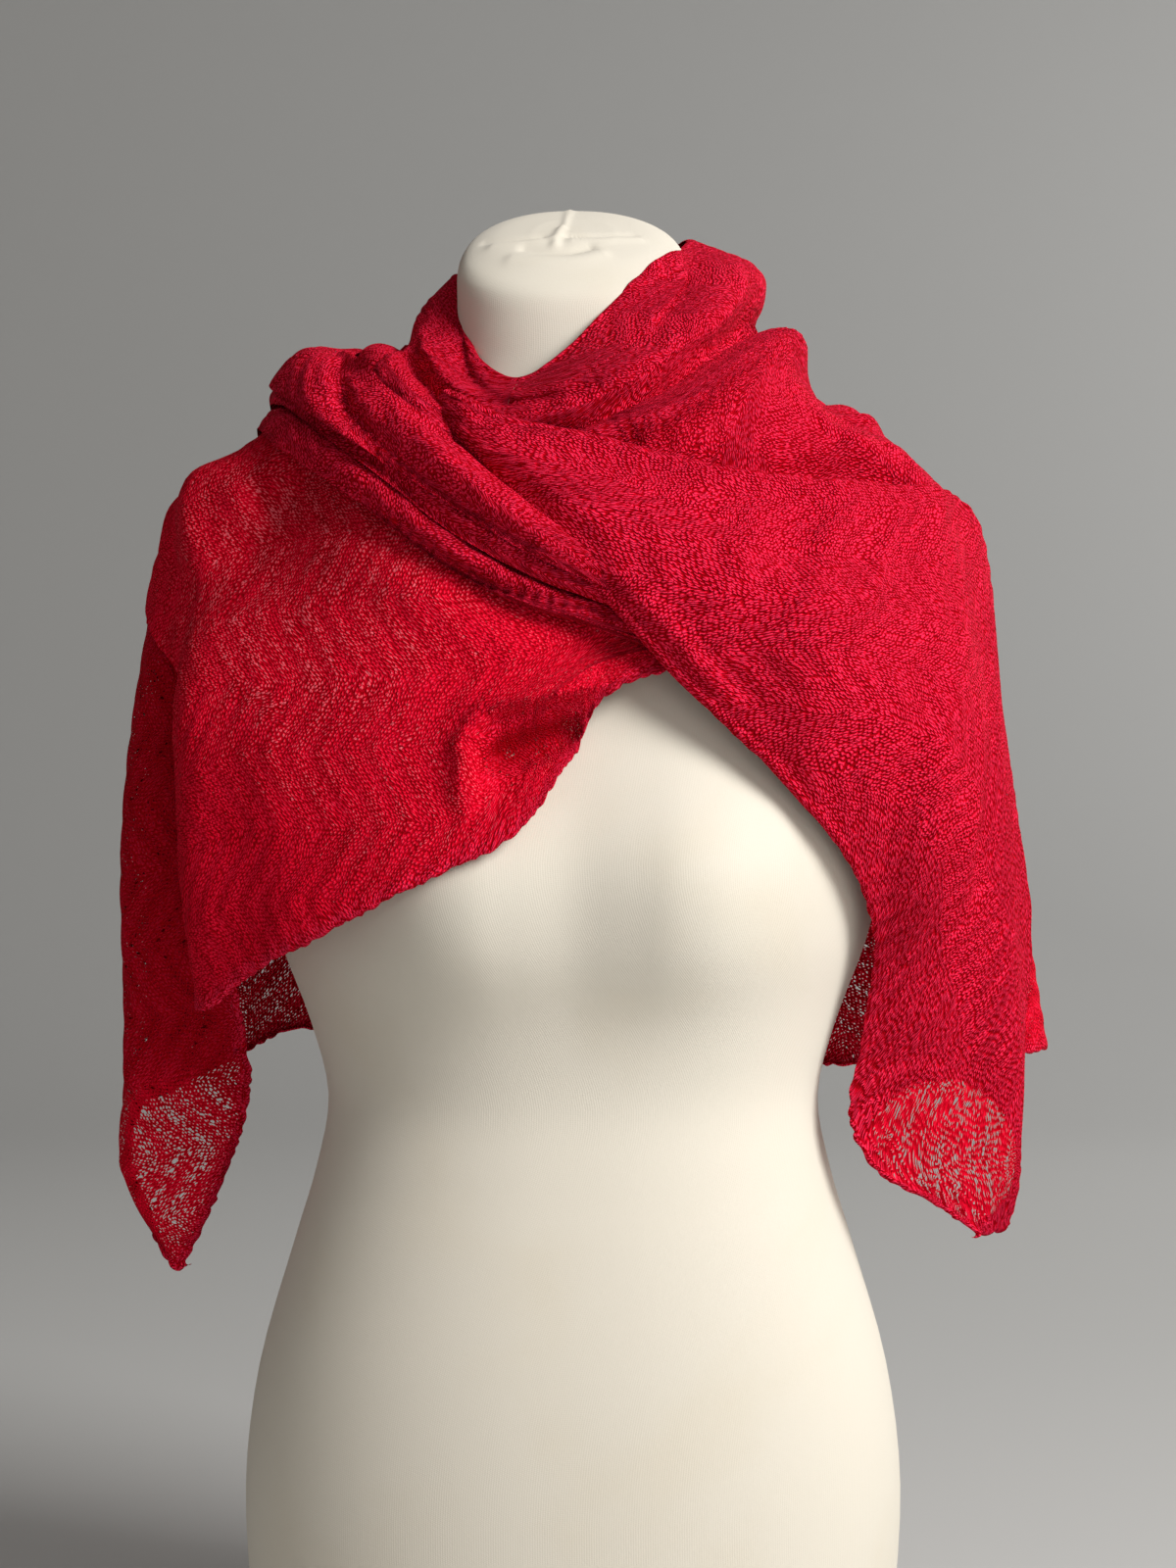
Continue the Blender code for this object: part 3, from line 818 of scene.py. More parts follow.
def jersey_finish():
    """The jersey's ribs and loops, with faint worn patches and a little painted shade between the
    ribs.
    """
    f = Finish("cotton jersey")
    u, v = f.lengths()
    place = f.point(u, v)
    ribs = (u * (2 * math.pi / JERSEY_RIB)).cos()
    loops = (v * (2 * math.pi / JERSEY_LOOP) + ribs * 0.8).cos()
    worn = f.noise(place, 0.012, 3.0).step(0.45, 0.8)
    grain = f.noise(place, 0.9, 2.0)
    # the worn tone also gives a little painted shade to the grooves between the ribs
    colour = f.blend(worn * 0.35 + (grain - 0.5) * 0.2 + (1.0 - ribs) * 0.04, JERSEY, JERSEY_WORN_AND_PAINTED_SHADE)
    f.surface(
        Base_Color=colour,
        Roughness=0.88 + (grain - 0.5) * 0.1,
        Normal=f.bump(ribs * 0.018 + loops * 0.008 + grain * 0.05),
        Sheen_Weight=0.1,
        Sheen_Roughness=0.5,
        Specular_IOR_Level=0.2,
    )
    return f.material


COTTON_JERSEY = jersey_finish()
print("jersey nodes:", len(COTTON_JERSEY.node_tree.nodes))

# %% [markdown]
# ## The covered form
#
# The fine rings are closed at the neck by smaller rings and at the foot by a flat face.
# The jersey is gathered on the neck cap: a short ridge and a few creases run into a
# small pinch. They are pushed into the same mesh, because they are one cloth.

# %% Form mesh
CAP_RINGS = [0.82, 0.64, 0.46, 0.3, 0.15, 0.04]  # of the top ring, towards its middle
CAP_RISE = 1.2
CAP_ROWS = 15  # at the top, which are cut finer
GATHERS = [
    # width, height, line of x and y on the cap
    (2.0, 1.0, [(-2, 42), (-3, 30), (-4, 16), (-5, 8)]),
    (2.6, 1.7, [(-6, 6), (-8, -2), (-9, -12)]),
    (2.6, -1.2, [(-44, 4), (-30, -1), (-16, -2)]),
    (3.2, 1.2, [(-40, -5), (-26, -8), (-12, -7)]),
    (2.6, -1.1, [(-2, -2), (12, -1), (30, 4)]),
    (3.4, 1.2, [(0, -8), (14, -7), (32, -1)]),
    (3.0, -1.6, [(-24, -13), (-14, -17), (-2, -18), (8, -14)]),
    (4.0, 1.2, [(-30, -21), (-14, -25), (2, -25), (14, -20)]),
]
CAP_FROM = 690.0  # height over which gathers are looked for
GATHER_STEPS = 16
SHARP = 0.9  # radians between two faces whose edge stays sharp


def covered_form():
    """The form, closed at both ends, with its gathers."""
    grid = FINE_FORM_AT
    top = grid[-1]
    middle = top[:-1].mean(axis=0)
    rings = [middle + (top - middle) * s + (0, 0, CAP_RISE * (1 - s)) for s in CAP_RINGS]
    grid = np.concatenate([grid, np.array(rings)])
    low = len(grid) - CAP_ROWS
    grid = np.concatenate([grid[:low], finer(grid[low - 1 :], (4, 1))[4:]])
    for width, height, line in GATHERS:
        line = even([(x, y, 0) for x, y in line], GATHER_STEPS)
        gap = np.linalg.norm((grid[:, :, None] - line)[..., :2], axis=3).min(axis=2)
        share = np.exp(-((gap / width) ** 2)) * (grid[..., 2] > CAP_FROM)
        grid[..., 2] += height * share
    bm = mesh_of(grid)
    bmesh.ops.remove_doubles(bm, verts=bm.verts, dist=WELD)
    bmesh.ops.holes_fill(bm, edges=[e for e in bm.edges if e.is_boundary])
    bmesh.ops.recalc_face_normals(bm, faces=bm.faces)
    made = object_of("jersey_form", bm, COTTON_JERSEY)
    made.data.set_sharp_from_angle(angle=SHARP)
    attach(made, "root")
    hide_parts("dress_form")
    return made


print("form faces:", len(covered_form().data.polygons))

# %% [markdown]
# ## The stretches of the shawl
#
# One helper makes each stretch: lay it, cut it fine, add its small folds and ribs,
# settle it, roll its hems, and give it its knit. What differs is said in a short table
# beside each stretch.

# %% One stretch of cloth
RIB_RISE = 0.35


def zoned(grid, base, zones):
    """One number for each point: the base, and round each zone's centre its own value,
    with a rim that is soft over a share of the zone's reach."""
    field = np.ones(grid.shape[:2]) * base
    for centre, reach, value, soft in zones:
        share = np.linalg.norm(grid - np.array(centre, float), axis=2) / reach
        share = np.clip((1 + soft - share) / (2 * soft), 0, 1)
        field += (value - field) * share * share * (3 - 2 * share)
    return field


def from_edge(grid, side):
    """How far each point is from one side of the grid, along the cloth."""
    u, v = arcs(grid)
    if side in ("first", "last"):
        return np.abs(v - v[:1] if side == "first" else v - v[-1:])
    return np.abs(u - u[:, :1] if side == "left" else u - u[:, -1:])


def spread(grid, side, numbers):
    """Numbers spread evenly along one side, for every point of the grid."""
    rows, columns = grid.shape[:2]
    count = columns if side in ("first", "last") else rows
    numbers = np.atleast_1d(numbers).astype(float)
    along = np.interp(np.linspace(0, 1, count), np.linspace(0, 1, len(numbers)), numbers)
    return along[None] if side in ("first", "last") else along[:, None]


def dived(grid, out, ends):
    """The grid with its sides sunk into what is under them. Each of the ends is a side,
    the length that bends down, depths spread along the side, and the direction, if it
    isn't straight towards the form."""
    for side, length, depths, *towards in ends:
        share = np.clip(1 - from_edge(grid, side) / length, 0, 1)
        step = np.array(towards[0], float) if towards else -out
        grid = grid + step * (spread(grid, side, depths) * share**1.5)[..., None]
    for i, j in np.ndindex(*grid.shape[:2]):
        point, away = Vector(grid[i, j]), Vector(out[i, j])
        near, normal, _, far = FINE_FORM.find_nearest(point)
        if far < NEAR or (point - near).dot(normal) < 0:
            grid[i, j] += out[i, j] * max(FINE_SKIN - (point - near).dot(away), 0)
    return grid


HEM_BAND = 14  # width of the dense band along a free hem


def hem_band(grid, hems):
    """0 at each free hem and 1 beyond its dense band."""
    share = np.ones(grid.shape[:2])
    for side, radii in hems:
        if np.max(radii) > 0:
            far = np.clip(from_edge(grid, side) / HEM_BAND, 0, 1)
            free = np.clip(spread(grid, side, radii), 0, 1)
            share *= 1 - free * (1 - far * far * (3 - 2 * far))
    return share


def stretch(
    name, grid, times, flat, folds=(), hems=(), ends=(), sunk_in=(), lace=0.0, zones=(),
    backing_and_painted_light=0.0, painted_shade_zones=(), rib=RIB_RISE, turn=0, ring=False,
):
    """Makes the stretch that stands for the solid of that name. Lace opens the knit's
    holes. The backing number is 1 where a hole shows the jersey, and below 0 where it
    gives painted shade. Zones change the first round a few places, and the painted shade
    zones change the second."""
    grid = finer(laid(name, grid), times, ring)
    out = outward(grid)
    grid = creased(grid, out, folds)
    grid = grid - out * (rib * np.cos(2 * np.pi * zigzag(*arcs(grid, turn))))[..., None]
    grid = dived(settled(name, grid, out, sunk_in), out, ends)
    for side, radii in hems:
        grid, out = hemmed(grid, out, side, radii)
    band = hem_band(grid, hems)
    open_holes = zoned(grid, lace, zones) * band
    # the backing number, with painted shade where it is below 0
    behind = zoned(grid, spread(grid, "first", backing_and_painted_light), painted_shade_zones) * band
    # hem marks the dense band of each free hem, which the knit gives painted light
    values = {"lace": open_holes, "backing_and_painted_light": behind, "hem": 1 - band}
    bm = mesh_of(grid, values, turn)
    facing = sum(f.normal.dot(Vector(o)) for f, o in zip(bm.faces, out[:-1, :-1].reshape(-1, 3)))
    if facing < 0:
        bmesh.ops.reverse_faces(bm, faces=bm.faces)
    if ring:
        bmesh.ops.remove_doubles(bm, verts=bm.verts, dist=WELD)
    made = object_of("knit_" + name, bm, WOOL_LACE)
    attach(made, "root")
    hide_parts(name)
    area = sum(p.area for p in made.data.polygons)
    print(f"{name}: {len(made.data.polygons)} faces, {area:.4f} m2, flat {flat}")
    return made


# %% [markdown]
# ## Over the back
#
# The middle of the shawl hangs from the shoulders over the back in a few soft, wide
# folds. It is one layer, so the form shows faintly through its holes.

# %% Back drape
BACK_SECTIONS = [
    # top x, y, z, shoulder x, y, z, middle x, y, z, hem x, y, z
    (146, -24, 616, 182, -20, 582, 200, -18, 470, 206, -4, 322),
    (142, 6, 632, 186, 6, 592, 212, 6, 490, 231, 10, 318),
    (136, 22, 638, 186, 32, 590, 210, 38, 490, 240, 36, 319),
    (118, 34, 646, 164, 54, 604, 186, 72, 480, 208, 76, 309),
    (92, 44, 658, 122, 72, 622, 138, 96, 480, 150, 96, 305),
    (58, 52, 676, 68, 84, 640, 72, 106, 500, 78, 108, 311),
    (0, 62, 690, 0, 92, 650, 0, 110, 510, 0, 110, 316),
    (-58, 52, 676, -68, 84, 640, -74, 106, 500, -80, 108, 320),
    (-92, 44, 658, -122, 72, 622, -140, 94, 480, -148, 94, 324),
    (-118, 34, 646, -160, 54, 604, -182, 70, 480, -184, 82, 308),
    (-134, 22, 638, -176, 30, 592, -211, 38, 490, -218, 50, 294),
    (-136, 4, 634, -174, 2, 588, -208, 8, 480, -206, 22, 298),
    (-140, -22, 616, -166, -20, 578, -186, -14, 470, -172, 12, 318),
]

stretch(
    "back_drape",
    loft(BACK_SECTIONS, rows=40, columns=14),
    times=(7, 9),
    flat=(0.34, 0.62),
    hems=[("left", -1.5), ("first", -1.5), ("last", -1.5), ("right", 1.6)],
    lace=0.75,
    zones=[((-150, 10, 610), 70, 0.1, 0.3), ((150, 10, 610), 70, 0.1, 0.3)],
)

# %% [markdown]
# ## The end behind the left shoulder
#
# One end hangs down behind the left shoulder and narrows to a pointed tip. Near the tip
# it is a single open layer.

# %% Left tail
TAIL_SECTIONS = [
    # front edge x, y, z, front x, y, z, side x, y, z, back edge x, y, z
    (-166, -22, 588, -182, 0, 602, -188, 24, 602, -170, 56, 602),
    (-172, -28, 562, -193, -4, 578, -202, 22, 580, -180, 58, 584),
    (-174, -30, 530, -203, -6, 532, -214, 22, 534, -186, 66, 540),
    (-176, -34, 466, -210, -8, 464, -224, 22, 464, -188, 72, 470),
    (-176, -30, 402, -212, -6, 402, -227, 22, 404, -194, 76, 410),
    (-172, -12, 346, -208, 2, 346, -227, 24, 350, -200, 78, 360),
    (-166, 12, 306, -204, 10, 304, -228, 25, 306, -208, 76, 322),
    (-172, 22, 276, -205, 17, 274, -230, 26, 278, -224, 64, 294),
    (-180, 26, 252, -206, 21, 250, -230, 27, 258, -230, 50, 272),
    (-191, 28, 229, -208, 25, 228, -222, 28, 238, -228, 38, 252),
    (-200, 28, 210, -204, 27, 209, -208, 28, 214, -214, 31, 224),
]

stretch(
    "left_tail",
    loft(TAIL_SECTIONS, rows=20, columns=12),
    times=(10, 6),
    flat=(0.13, 0.38),
    hems=[("left", 1.5), ("right", 1.5), ("last", 2.0)],
    ends=[("left", 55, [4, 12, 20, 26, 26, 16, 4, 0, 0, 0, 0], (0, 1, 0))],
    lace=0.7,
    zones=[((-200, 24, 262), 42, 1.0, 0.08), ((-190, 10, 580), 60, 0.05, 0.4)],
    # painted shade, darkest at the front edge beside the left front and none at the back, and
    # none round the tip and the top
    backing_and_painted_light=[-1.0, -1.0, -0.75, -0.3, 0.0, 0.0],
    painted_shade_zones=[((-200, 24, 262), 42, 0.0, 0.4), ((-190, 10, 590), 50, 0.0, 0.4)],
)

# %% [markdown]
# ## The front that crosses to the left
#
# A single layer lies tight on the form, and its zigzag of holes shows clearly. Near the
# crossing its hem is tucked into a small fold with a pocket under it.

# %% Left front
LEFT_SECTIONS = [
    # upper x, y, z, middle x, y, z, lower x, y, z
    (66, -94, 531, 66, -97, 521, 66, -100, 512),
    (38, -96, 545, 38, -98, 525, 38, -103, 505),
    (12, -96, 556, 12, -98, 521, 12, -105, 491),
    (-18, -94, 568, -12, -102, 512, -3, -113, 463),
    (-47, -88, 584, -40, -104, 506, -29, -124, 429),
    (-74, -80, 600, -72, -104, 498, -74, -122, 407),
    (-99, -62, 616, -102, -98, 492, -112, -110, 386),
    (-122, -38, 628, -128, -88, 488, -146, -90, 368),
    (-143, -8, 632, -156, -74, 486, -162, -78, 357),
    (-166, 14, 620, -179, -60, 488, -174, -67, 348),
    (-184, 28, 602, -188, -45, 490, -180, -56, 345),
    (-190, 40, 592, -188, -26, 492, -180, -42, 348),
]

stretch(
    "left_front",
    loft(LEFT_SECTIONS, rows=28, columns=16),
    times=(8, 6),
    flat=(0.225, 0.29),
    folds=[
        (4, 5, 4, [(-47, 478), (-51, 466), (-52, 454), (-50, 442)]),
        (12, 5, -16, [(10, 482), (-8, 477), (-24, 473), (-37, 467), (-42, 456)]),
        (2.6, 12, 12, [(20, 498), (-4, 491), (-22, 487), (-38, 483), (-48, 474)]),
        (8, 8, 2, [(16, 494), (6, 474), (-6, 456), (-22, 440), (-44, 426)]),
        (14, 14, 4, [(-150, 585), (-120, 572), (-80, 548), (-40, 520), (0, 506)]),
        (30, 30, 7, [(-184, 545), (-187, 500), (-186, 450), (-184, 400), (-181, 350)]),
    ],
    hems=[("left", -1.5), ("last", -3.2), ("right", [1.0, 1.5, 1.3, 1.7])],
    lace=0.4,
    zones=[
        ((-80, -105, 480), 80, 0.68, 0.5),
        ((-135, -70, 560), 80, 0.95, 0.5),
        ((-20, -110, 500), 46, 0.55, 0.4),
        ((-160, -70, 375), 60, 0.0, 0.4),
    ],
    # holes show the jersey with painted light, and the pocket under the tucked fold gets painted
    # shadow
    backing_and_painted_light=1.0,
    painted_shade_zones=[
        ((-6, -101, 478), 11, -0.8, 0.7),
        ((-19, -101, 473), 12, -1.2, 0.7),
        ((-32, -102, 469), 11, -1.3, 0.7),
    ],
    turn=90,
)

# %% [markdown]
# ## Over the right shoulder
#
# Between cowl and crossing the cloth lies double over the shoulder, pulled into a
# shallow valley.

# %% Right shoulder
SHOULDER_SECTIONS = [
    # at the neck x, y, z, next x, y, z, crest x, y, z, dip x, y, z, tip x, y, z
    (-10, -80, 612, 30, -86, 598, 66, -84, 590, 110, -72, 584, 160, -44, 580),
    (6, -82, 622, 42, -78, 622, 78, -62, 622, 118, -44, 612, 172, -24, 588),
    (34, -74, 634, 66, -54, 647, 97, -29, 656, 124, -18, 636, 182, -6, 597),
    (74, -22, 666, 93, -8, 675, 113, 6, 672, 126, 6, 638, 186, 10, 598),
    (78, 34, 668, 94, 36, 674, 110, 38, 660, 126, 38, 632, 184, 36, 594),
    (70, 72, 660, 86, 76, 656, 104, 78, 638, 124, 68, 620, 168, 56, 592),
]

stretch(
    "right_shoulder",
    loft(SHOULDER_SECTIONS, rows=14, columns=16),
    times=(8, 5),
    flat=(0.16, 0.185),
    folds=[
        (14, 6, 15, [(14, 612), (36, 621), (58, 633), (78, 646), (100, 661), (116, 670)]),
        (8, 11, -9, [(30, 612), (70, 605), (100, 603), (126, 604), (150, 602)]),
        (8, 7, 6, [(160, 604), (138, 618), (118, 636)]),
    ],
    hems=[("left", -1.5), ("right", -1.5)],
)

# %% [markdown]
# ## Rolled folds and the cowl
#
# The cloth that is gathered at the neck lies in rolls from the nape over the left
# shoulder to the crossing. Each roll is an arch along a line, with its own width and
# height. The cowl stands up round the neck inside them.

# %% Arches
ROLL_TURN = 1.4  # from the crest to each side, in radians
ROLLS = {
    "roll_lower": [
        # x, y, z, width, height
        (-140, 62, 612, 12, 3),
        (-150, 34, 622, 20, 8),
        (-146, 4, 629, 22, 11),
        (-136, -34, 622, 22, 12),
        (-118, -60, 609, 21, 12),
        (-94, -80, 591, 19, 11),
        (-66, -92, 568, 17, 10),
        (-29, -99, 545, 15, 9),
        (4, -101, 533, 13, 7),
        (38, -101, 521, 13, 5),
        (66, -98, 508, 12, 3),
    ],
    "roll_middle": [
        (-126, 64, 634, 13, 4),
        (-138, 36, 640, 22, 10),
        (-140, 6, 643, 24, 13),
        (-126, -34, 634, 23, 14),
        (-103, -64, 615, 21, 14),
        (-78, -82, 595, 19, 13),
        (-46, -95, 570, 17, 12),
        (-12, -101, 552, 15, 10),
        (22, -104, 539, 12, 7),
        (48, -102, 528, 12, 4),
    ],
    "roll_upper": [
        (92, 66, 660, 16, 4),
        (52, 84, 664, 28, 9),
        (0, 94, 666, 34, 13),
        (-44, 86, 662, 36, 16),
        (-88, 62, 656, 38, 19),
        (-118, 30, 652, 40, 22),
        (-127, -2, 647, 42, 23),
        (-114, -36, 637, 38, 22),
        (-90, -66, 619, 33, 21),
        (-64, -86, 600, 29, 18),
        (-36, -99, 580, 25, 15),
        (-8, -106, 562, 20, 11),
        (24, -106, 546, 15, 7),
        (44, -104, 536, 12, 4),
    ],
    "roll_neck": [
        (-88, 40, 660, 22, 10),
        (-96, 14, 661, 25, 13),
        (-95, -14, 654, 24, 13),
        (-86, -44, 640, 21, 12),
        (-70, -68, 624, 17, 9),
        (-52, -82, 608, 13, 3),
    ],
}


def roll(stations, rows, columns):
    """The arch of a rolled fold: stations of x, y, z, width and height."""
    line = smooth(stations, np.linspace(0, len(stations) - 1, rows + 1))
    centre, width, height = line[:, :3], line[:, 3], line[:, 4]
    ahead = unit(np.gradient(centre, axis=0))
    off = np.array([off_the_form(p) for p in centre])
    off = unit(off - (off * ahead).sum(1, keepdims=True) * ahead)
    aside = np.cross(ahead, off)
    angle = np.linspace(-ROLL_TURN, ROLL_TURN, columns + 1)
    return (
        centre[:, None]
        + aside[:, None] * (np.sin(angle)[None] * width[:, None] / 2)[..., None]
        + off[:, None] * (np.cos(angle)[None] * height[:, None])[..., None]
    )


ROLL_CREASES = {
    "roll_lower": [(3, 3.5, -7, [(-122, 607), (-86, 577), (-53, 553), (-20, 541), (16, 532)])],
    "roll_middle": [(3, 3, -4, [(-116, 622), (-90, 602), (-60, 576), (-24, 556)])],
}
for name, folds in ROLL_CREASES.items():
    stretch(
        name,
        roll(ROLLS[name], rows=26, columns=8),
        times=(7, 5),
        flat=(0.034, 0.29),
        folds=folds,
        hems=[("first", -2.0), ("last", -2.0)],
    )
stretch(
    "roll_neck",
    roll(ROLLS["roll_neck"], rows=16, columns=8),
    times=(7, 4),
    flat=(0.037, 0.15),
    hems=[("first", -3.0), ("last", -2.0)],
)

# %% Cowl
COWL_SECTIONS = [
    # crest x, y, z, belly x, y, z, lower x, y, z
    (-26, -60, 646, -32, -80, 632, -38, -91, 612),
    (-3, -58, 660, 0, -88, 638, 0, -88, 608),
    (14, -48, 678, 24, -86, 648, 28, -82, 616),
    (29, -30, 694, 46, -72, 664, 50, -68, 628),
    (44, -8, 708, 65, -48, 686, 73, -46, 648),
    (57, 16, 722, 84, -14, 704, 92, -16, 672),
    (62, 38, 730, 94, 22, 712, 101, 14, 676),
    (50, 62, 728, 77, 62, 706, 88, 60, 668),
    (0, 80, 716, 0, 92, 696, 0, 100, 666),
    (-46, 64, 708, -66, 70, 694, -74, 74, 668),
    (-60, 40, 709, -76, 36, 694, -86, 34, 664),
    (-62, 16, 706, -78, 8, 686, -92, 4, 654),
    (-59, -16, 679, -75, -28, 662, -94, -40, 632),
    (-46, -42, 657, -58, -60, 642, -72, -74, 618),
]

stretch(
    "cowl",
    loft(COWL_SECTIONS, rows=44, columns=9, ring=True),
    times=(6, 6),
    flat=(0.088, 0.54),
    folds=[
        (13, 7, 8, [(0, 634), (22, 642), (44, 656), (66, 676), (84, 696)]),
        (4, 9, -9, [(34, 664), (48, 680), (60, 698), (66, 716), (72, 730)]),
        (4, 5, -6, [(-74, 645), (-57, 638), (-39, 634), (-12, 635), (10, 640)]),
        (5, 5, 4, [(-60, 628), (-40, 623), (-10, 625), (20, 631)]),
        (4, 4, -6, [(-84, 664), (-69, 642), (-52, 630), (-42, 626)]),
        (4, 4, -5, [(-62, 688), (-56, 660), (-44, 642), (-34, 636)]),
        (4, 4, 4, [(-74, 676), (-64, 652), (-48, 634)]),
    ],
    hems=[("left", -2.6), ("right", -2.6)],
    ends=[("right", 28, 16)],
    sunk_in=["right_shoulder"],
    ring=True,
)

# %% Upper roll
stretch(
    "roll_upper",
    roll(ROLLS["roll_upper"], rows=32, columns=8),
    times=(7, 5),
    flat=(0.055, 0.4),
    folds=[
        (5, 4, -11, [(-116, 658), (-112, 642), (-103, 624), (-76, 596), (-48, 577), (-22, 564)]),
        (6, 6, 4, [(-130, 650), (-122, 628), (-96, 598), (-60, 574)]),
        (7, 7, 5, [(-96, 664), (-86, 634), (-62, 606), (-34, 580)]),
    ],
    hems=[("first", -2.0), ("last", -2.0)],
)

# %% [markdown]
# ## The front that crosses to the right
#
# The outermost stretch comes from the left of the neck, crosses, turns over the right
# shoulder and hangs to a pointed tip. It lies double, so it shows nubs and no holes,
# except near the tip where only one layer hangs.

# %% Right front
RIGHT_SECTIONS = [
    # left x, y, z, turn x, y, z, right x, y, z, belly
    (-72, -80, 636, -68, -78, 640, -64, -76, 643, 0),
    (-48, -98, 610, -42, -94, 616, -34, -88, 624, 1),
    (-28, -106, 588, -6, -102, 604, 10, -92, 614, 3),
    (-4, -114, 566, 30, -108, 590, 52, -94, 602, 6),
    (23, -120, 536, 70, -108, 576, 94, -84, 596, 8),
    (52, -124, 503, 112, -92, 562, 132, -64, 594, 12),
    (79, -128, 477, 156, -70, 556, 172, -32, 596, 14),
    (111, -126, 446, 190, -38, 540, 200, 12, 592, 14),
    (134, -112, 418, 207, -22, 500, 212, 30, 562, 12),
    (148, -88, 387, 213, -18, 462, 216, 30, 510, 10),
    (146, -66, 356, 216, -16, 410, 222, 26, 440, 8),
    (141, -54, 325, 218, -20, 364, 226, 14, 376, 7),
    (136, -50, 296, 219, -26, 316, 225, -4, 316, 7),
    (148, -45, 267, 217, -32, 278, 221, -20, 276, 6),
    (178, -38, 248, 214, -34, 256, 219, -28, 254, 4),
    (200, -34, 233, 210, -34, 236, 214, -32, 238, 1),
]


def belly(left, turn, right, bulge):
    """A section from the left edge to the turn and the right edge. It stands off the
    straight line between the first two by the bulge."""
    left, turn = np.array(left, float), np.array(turn, float)
    shares = np.linspace(0, 1, 4)
    line = left + (turn - left) * shares[:, None]
    out = np.array([off_the_form(p) for p in line])
    line = line + out * (bulge * np.sin(np.pi * shares))[:, None]
    return np.concatenate([line, [right]])


KNIT_TURN = 65  # of this stretch, which hangs on the slant
bellied = [belly(r[0:3], r[3:6], r[6:9], r[9]) for r in RIGHT_SECTIONS]
stretch(
    "right_front",
    loft(bellied, rows=40, columns=14),
    times=(7, 8),
    flat=(0.17, 0.44),
    hems=[
        ("left", [-4.2, -4.2, -4.0, -3.4, -2.8, -1.5, 1.4, 1.3]),
        ("right", [-3.4, -3.4, -3.4, -3.0, -2.0, -1.5, -1.0, 1.3]),
        ("last", 1.4),
    ],
    ends=[
        ("first", 26, 9),
        ("left", 14, [10, 10, 9, 4, 0, 0, 0, 0, 0, 0, 0, 0]),
        ("left", 75, [0, 0, 0, 6, 19, 29, 31, 26, 16, 7, 0, 0], (0, 1, 0)),
    ],
    folds=[
        (7, 12, 5, [(-10, 572), (14, 552), (36, 530), (60, 504), (90, 470)]),
        (12, 7, 5, [(-30, 618), (20, 612), (60, 600), (110, 594), (150, 590)]),
        (14, 10, -5, [(188, 580), (176, 520), (160, 460), (152, 400), (166, 350)]),
        (9, 14, 4, [(200, 500), (192, 430), (194, 370), (200, 320)]),
        (6, 9, 4, [(134, 527), (149, 565), (164, 590)]),
        (8, 6, 3.5, [(98, 512), (118, 556), (128, 588)]),
        (9, 6, 3.5, [(160, 470), (176, 520), (180, 560)]),
        (8, 8, 3, [(62, 528), (78, 556), (92, 584)]),
        (8, 10, 3.5, [(150, 430), (170, 466), (184, 500)]),
        (3, 6, 2.2, [(138, 300), (158, 311), (176, 312), (194, 298), (208, 268)]),
    ],
    zones=[((180, -40, 270), 38, 1.0, 0.06)],
    rib=0.4,
    turn=KNIT_TURN,
)

# %% [markdown]
# ## Studio and camera
#
# Soft daylight comes from the right and a little from the front, as from a large
# window. The floor and the wall behind are one pale sweep. The camera looks level at
# the shawl, from a metre and a half away.

# %% Sweep
SWEEP_LENGTH = 12.0  # from the front edge of the floor to the top of the wall
SWEEP_SIDE = 9.0  # from the middle
SWEEP_FRONT = 6.0
SWEEP_BACK = 4.2
SWEEP_BEND = 1.6  # radius between floor and wall


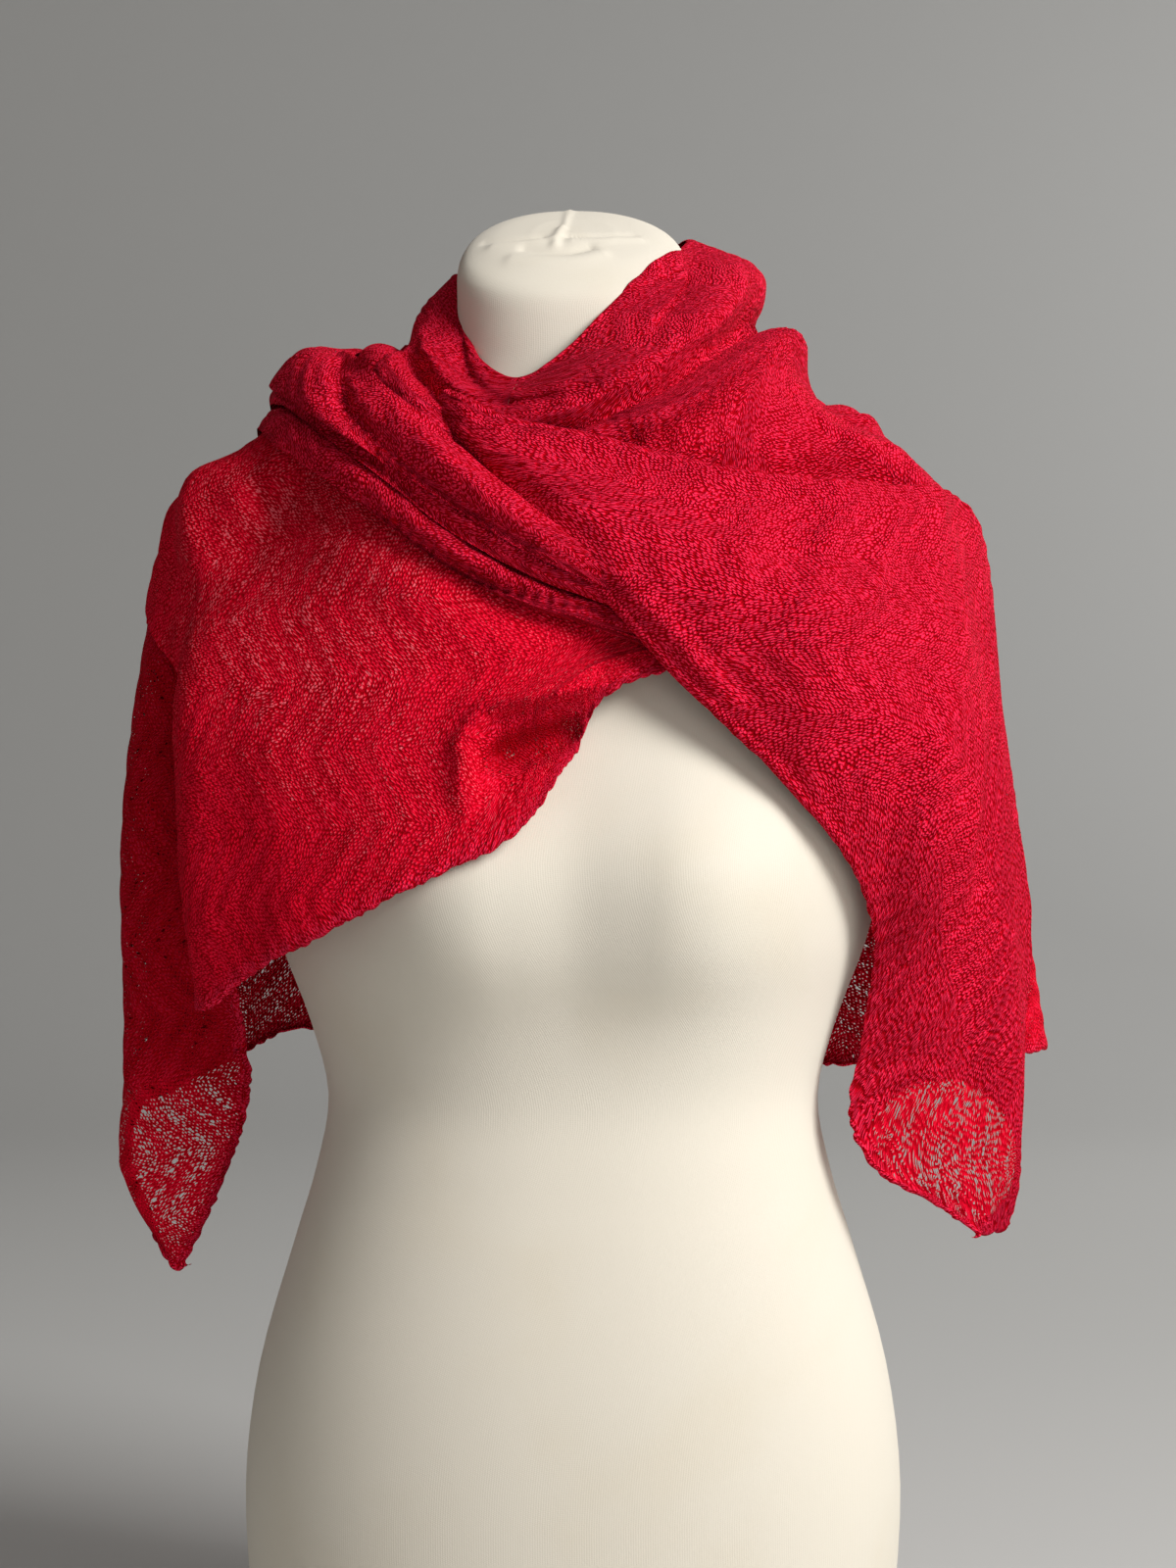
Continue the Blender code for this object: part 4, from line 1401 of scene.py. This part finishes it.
def sweep():
    """The floor and the wall behind it, as one bent sheet."""
    bm = bmesh.new()
    bmesh.ops.create_grid(bm, x_segments=1, y_segments=60, size=1)
    for vertex in bm.verts:
        along = (vertex.co.y + 1) * SWEEP_LENGTH / 2
        x = vertex.co.x * SWEEP_SIDE
        over = along - (SWEEP_FRONT + SWEEP_BACK - SWEEP_BEND)
        turn = over / SWEEP_BEND
        if over < 0:
            vertex.co = (x, along - SWEEP_FRONT, 0)
        elif turn < math.pi / 2:
            bend = (math.sin(turn) * SWEEP_BEND, (1 - math.cos(turn)) * SWEEP_BEND)
            vertex.co = (x, SWEEP_BACK - SWEEP_BEND + bend[0], bend[1])
        else:
            vertex.co = (x, SWEEP_BACK, SWEEP_BEND + over - SWEEP_BEND * math.pi / 2)
    paper = Finish("pale paper")
    paper.surface(Base_Color=(0.54, 0.54, 0.53, 1), Roughness=0.9)
    made = object_of("sweep", bm, paper.material)
    made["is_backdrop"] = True


sweep()

# %% Lights
AIM = (0.0, 0.0, 0.5)
WALL_AIM = (1.2, SWEEP_BACK, 1.0)
DAYLIGHT = (1.0, 0.99, 0.97)
LAMPS = {
    # place, size, watts, colour, what it shines at
    "window": ((1.85, -1.45, 2.0), 1.2, 96, DAYLIGHT, AIM),
    "front": ((0.9, -2.6, 0.9), 1.8, 6, (1.0, 0.98, 0.95), AIM),
    "room": ((-2.4, -2.2, 1.6), 2.6, 2, (1.0, 0.93, 0.86), AIM),
    "behind": ((1.6, 2.0, 1.6), 1.6, 14, DAYLIGHT, AIM),
    "wall": ((2.3, 2.5, 1.4), 1.2, 16, (1.0, 1.0, 1.0), WALL_AIM),
}
ROOM_COLOUR = (1.0, 0.96, 0.92, 1)
ROOM_STRENGTH = 0.16

for name, (place, size, watts, colour, aim) in LAMPS.items():
    lamp = bpy.data.lights.new(name, "AREA")
    lamp.shape = "SQUARE"
    lamp.size, lamp.energy, lamp.color = size, watts, colour
    made = placed(name, lamp)
    made.location = place
    made.rotation_euler = (Vector(aim) - Vector(place)).to_track_quat("-Z", "Y").to_euler()

world = bpy.data.worlds.new("room light")
world.use_nodes = True
background = world.node_tree.nodes["Background"]
background.inputs["Color"].default_value = ROOM_COLOUR
background.inputs["Strength"].default_value = ROOM_STRENGTH
bpy.context.scene.world = world
bpy.context.scene.view_settings.view_transform = "Standard"

# %% Camera
EYE_PLACE = (0.00735, -1.6, 0.452)
EYE_LENS = 73.47
EYE_NEAR = 0.01

eye = bpy.data.cameras.new("eye")
eye.lens, eye.clip_start = EYE_LENS, EYE_NEAR
camera = placed("eye", eye)
camera.location = EYE_PLACE
camera.rotation_euler = (math.pi / 2, 0, 0)
bpy.context.scene.camera = camera

# %% Sizes and finish
sizes = {"cad": [list(c) for c in CAD_BOX], "visual": [list(c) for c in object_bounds()]}
for key, (low, high) in sizes.items():
    print(key, [round(x * 1000) for x in low], [round(x * 1000) for x in high])
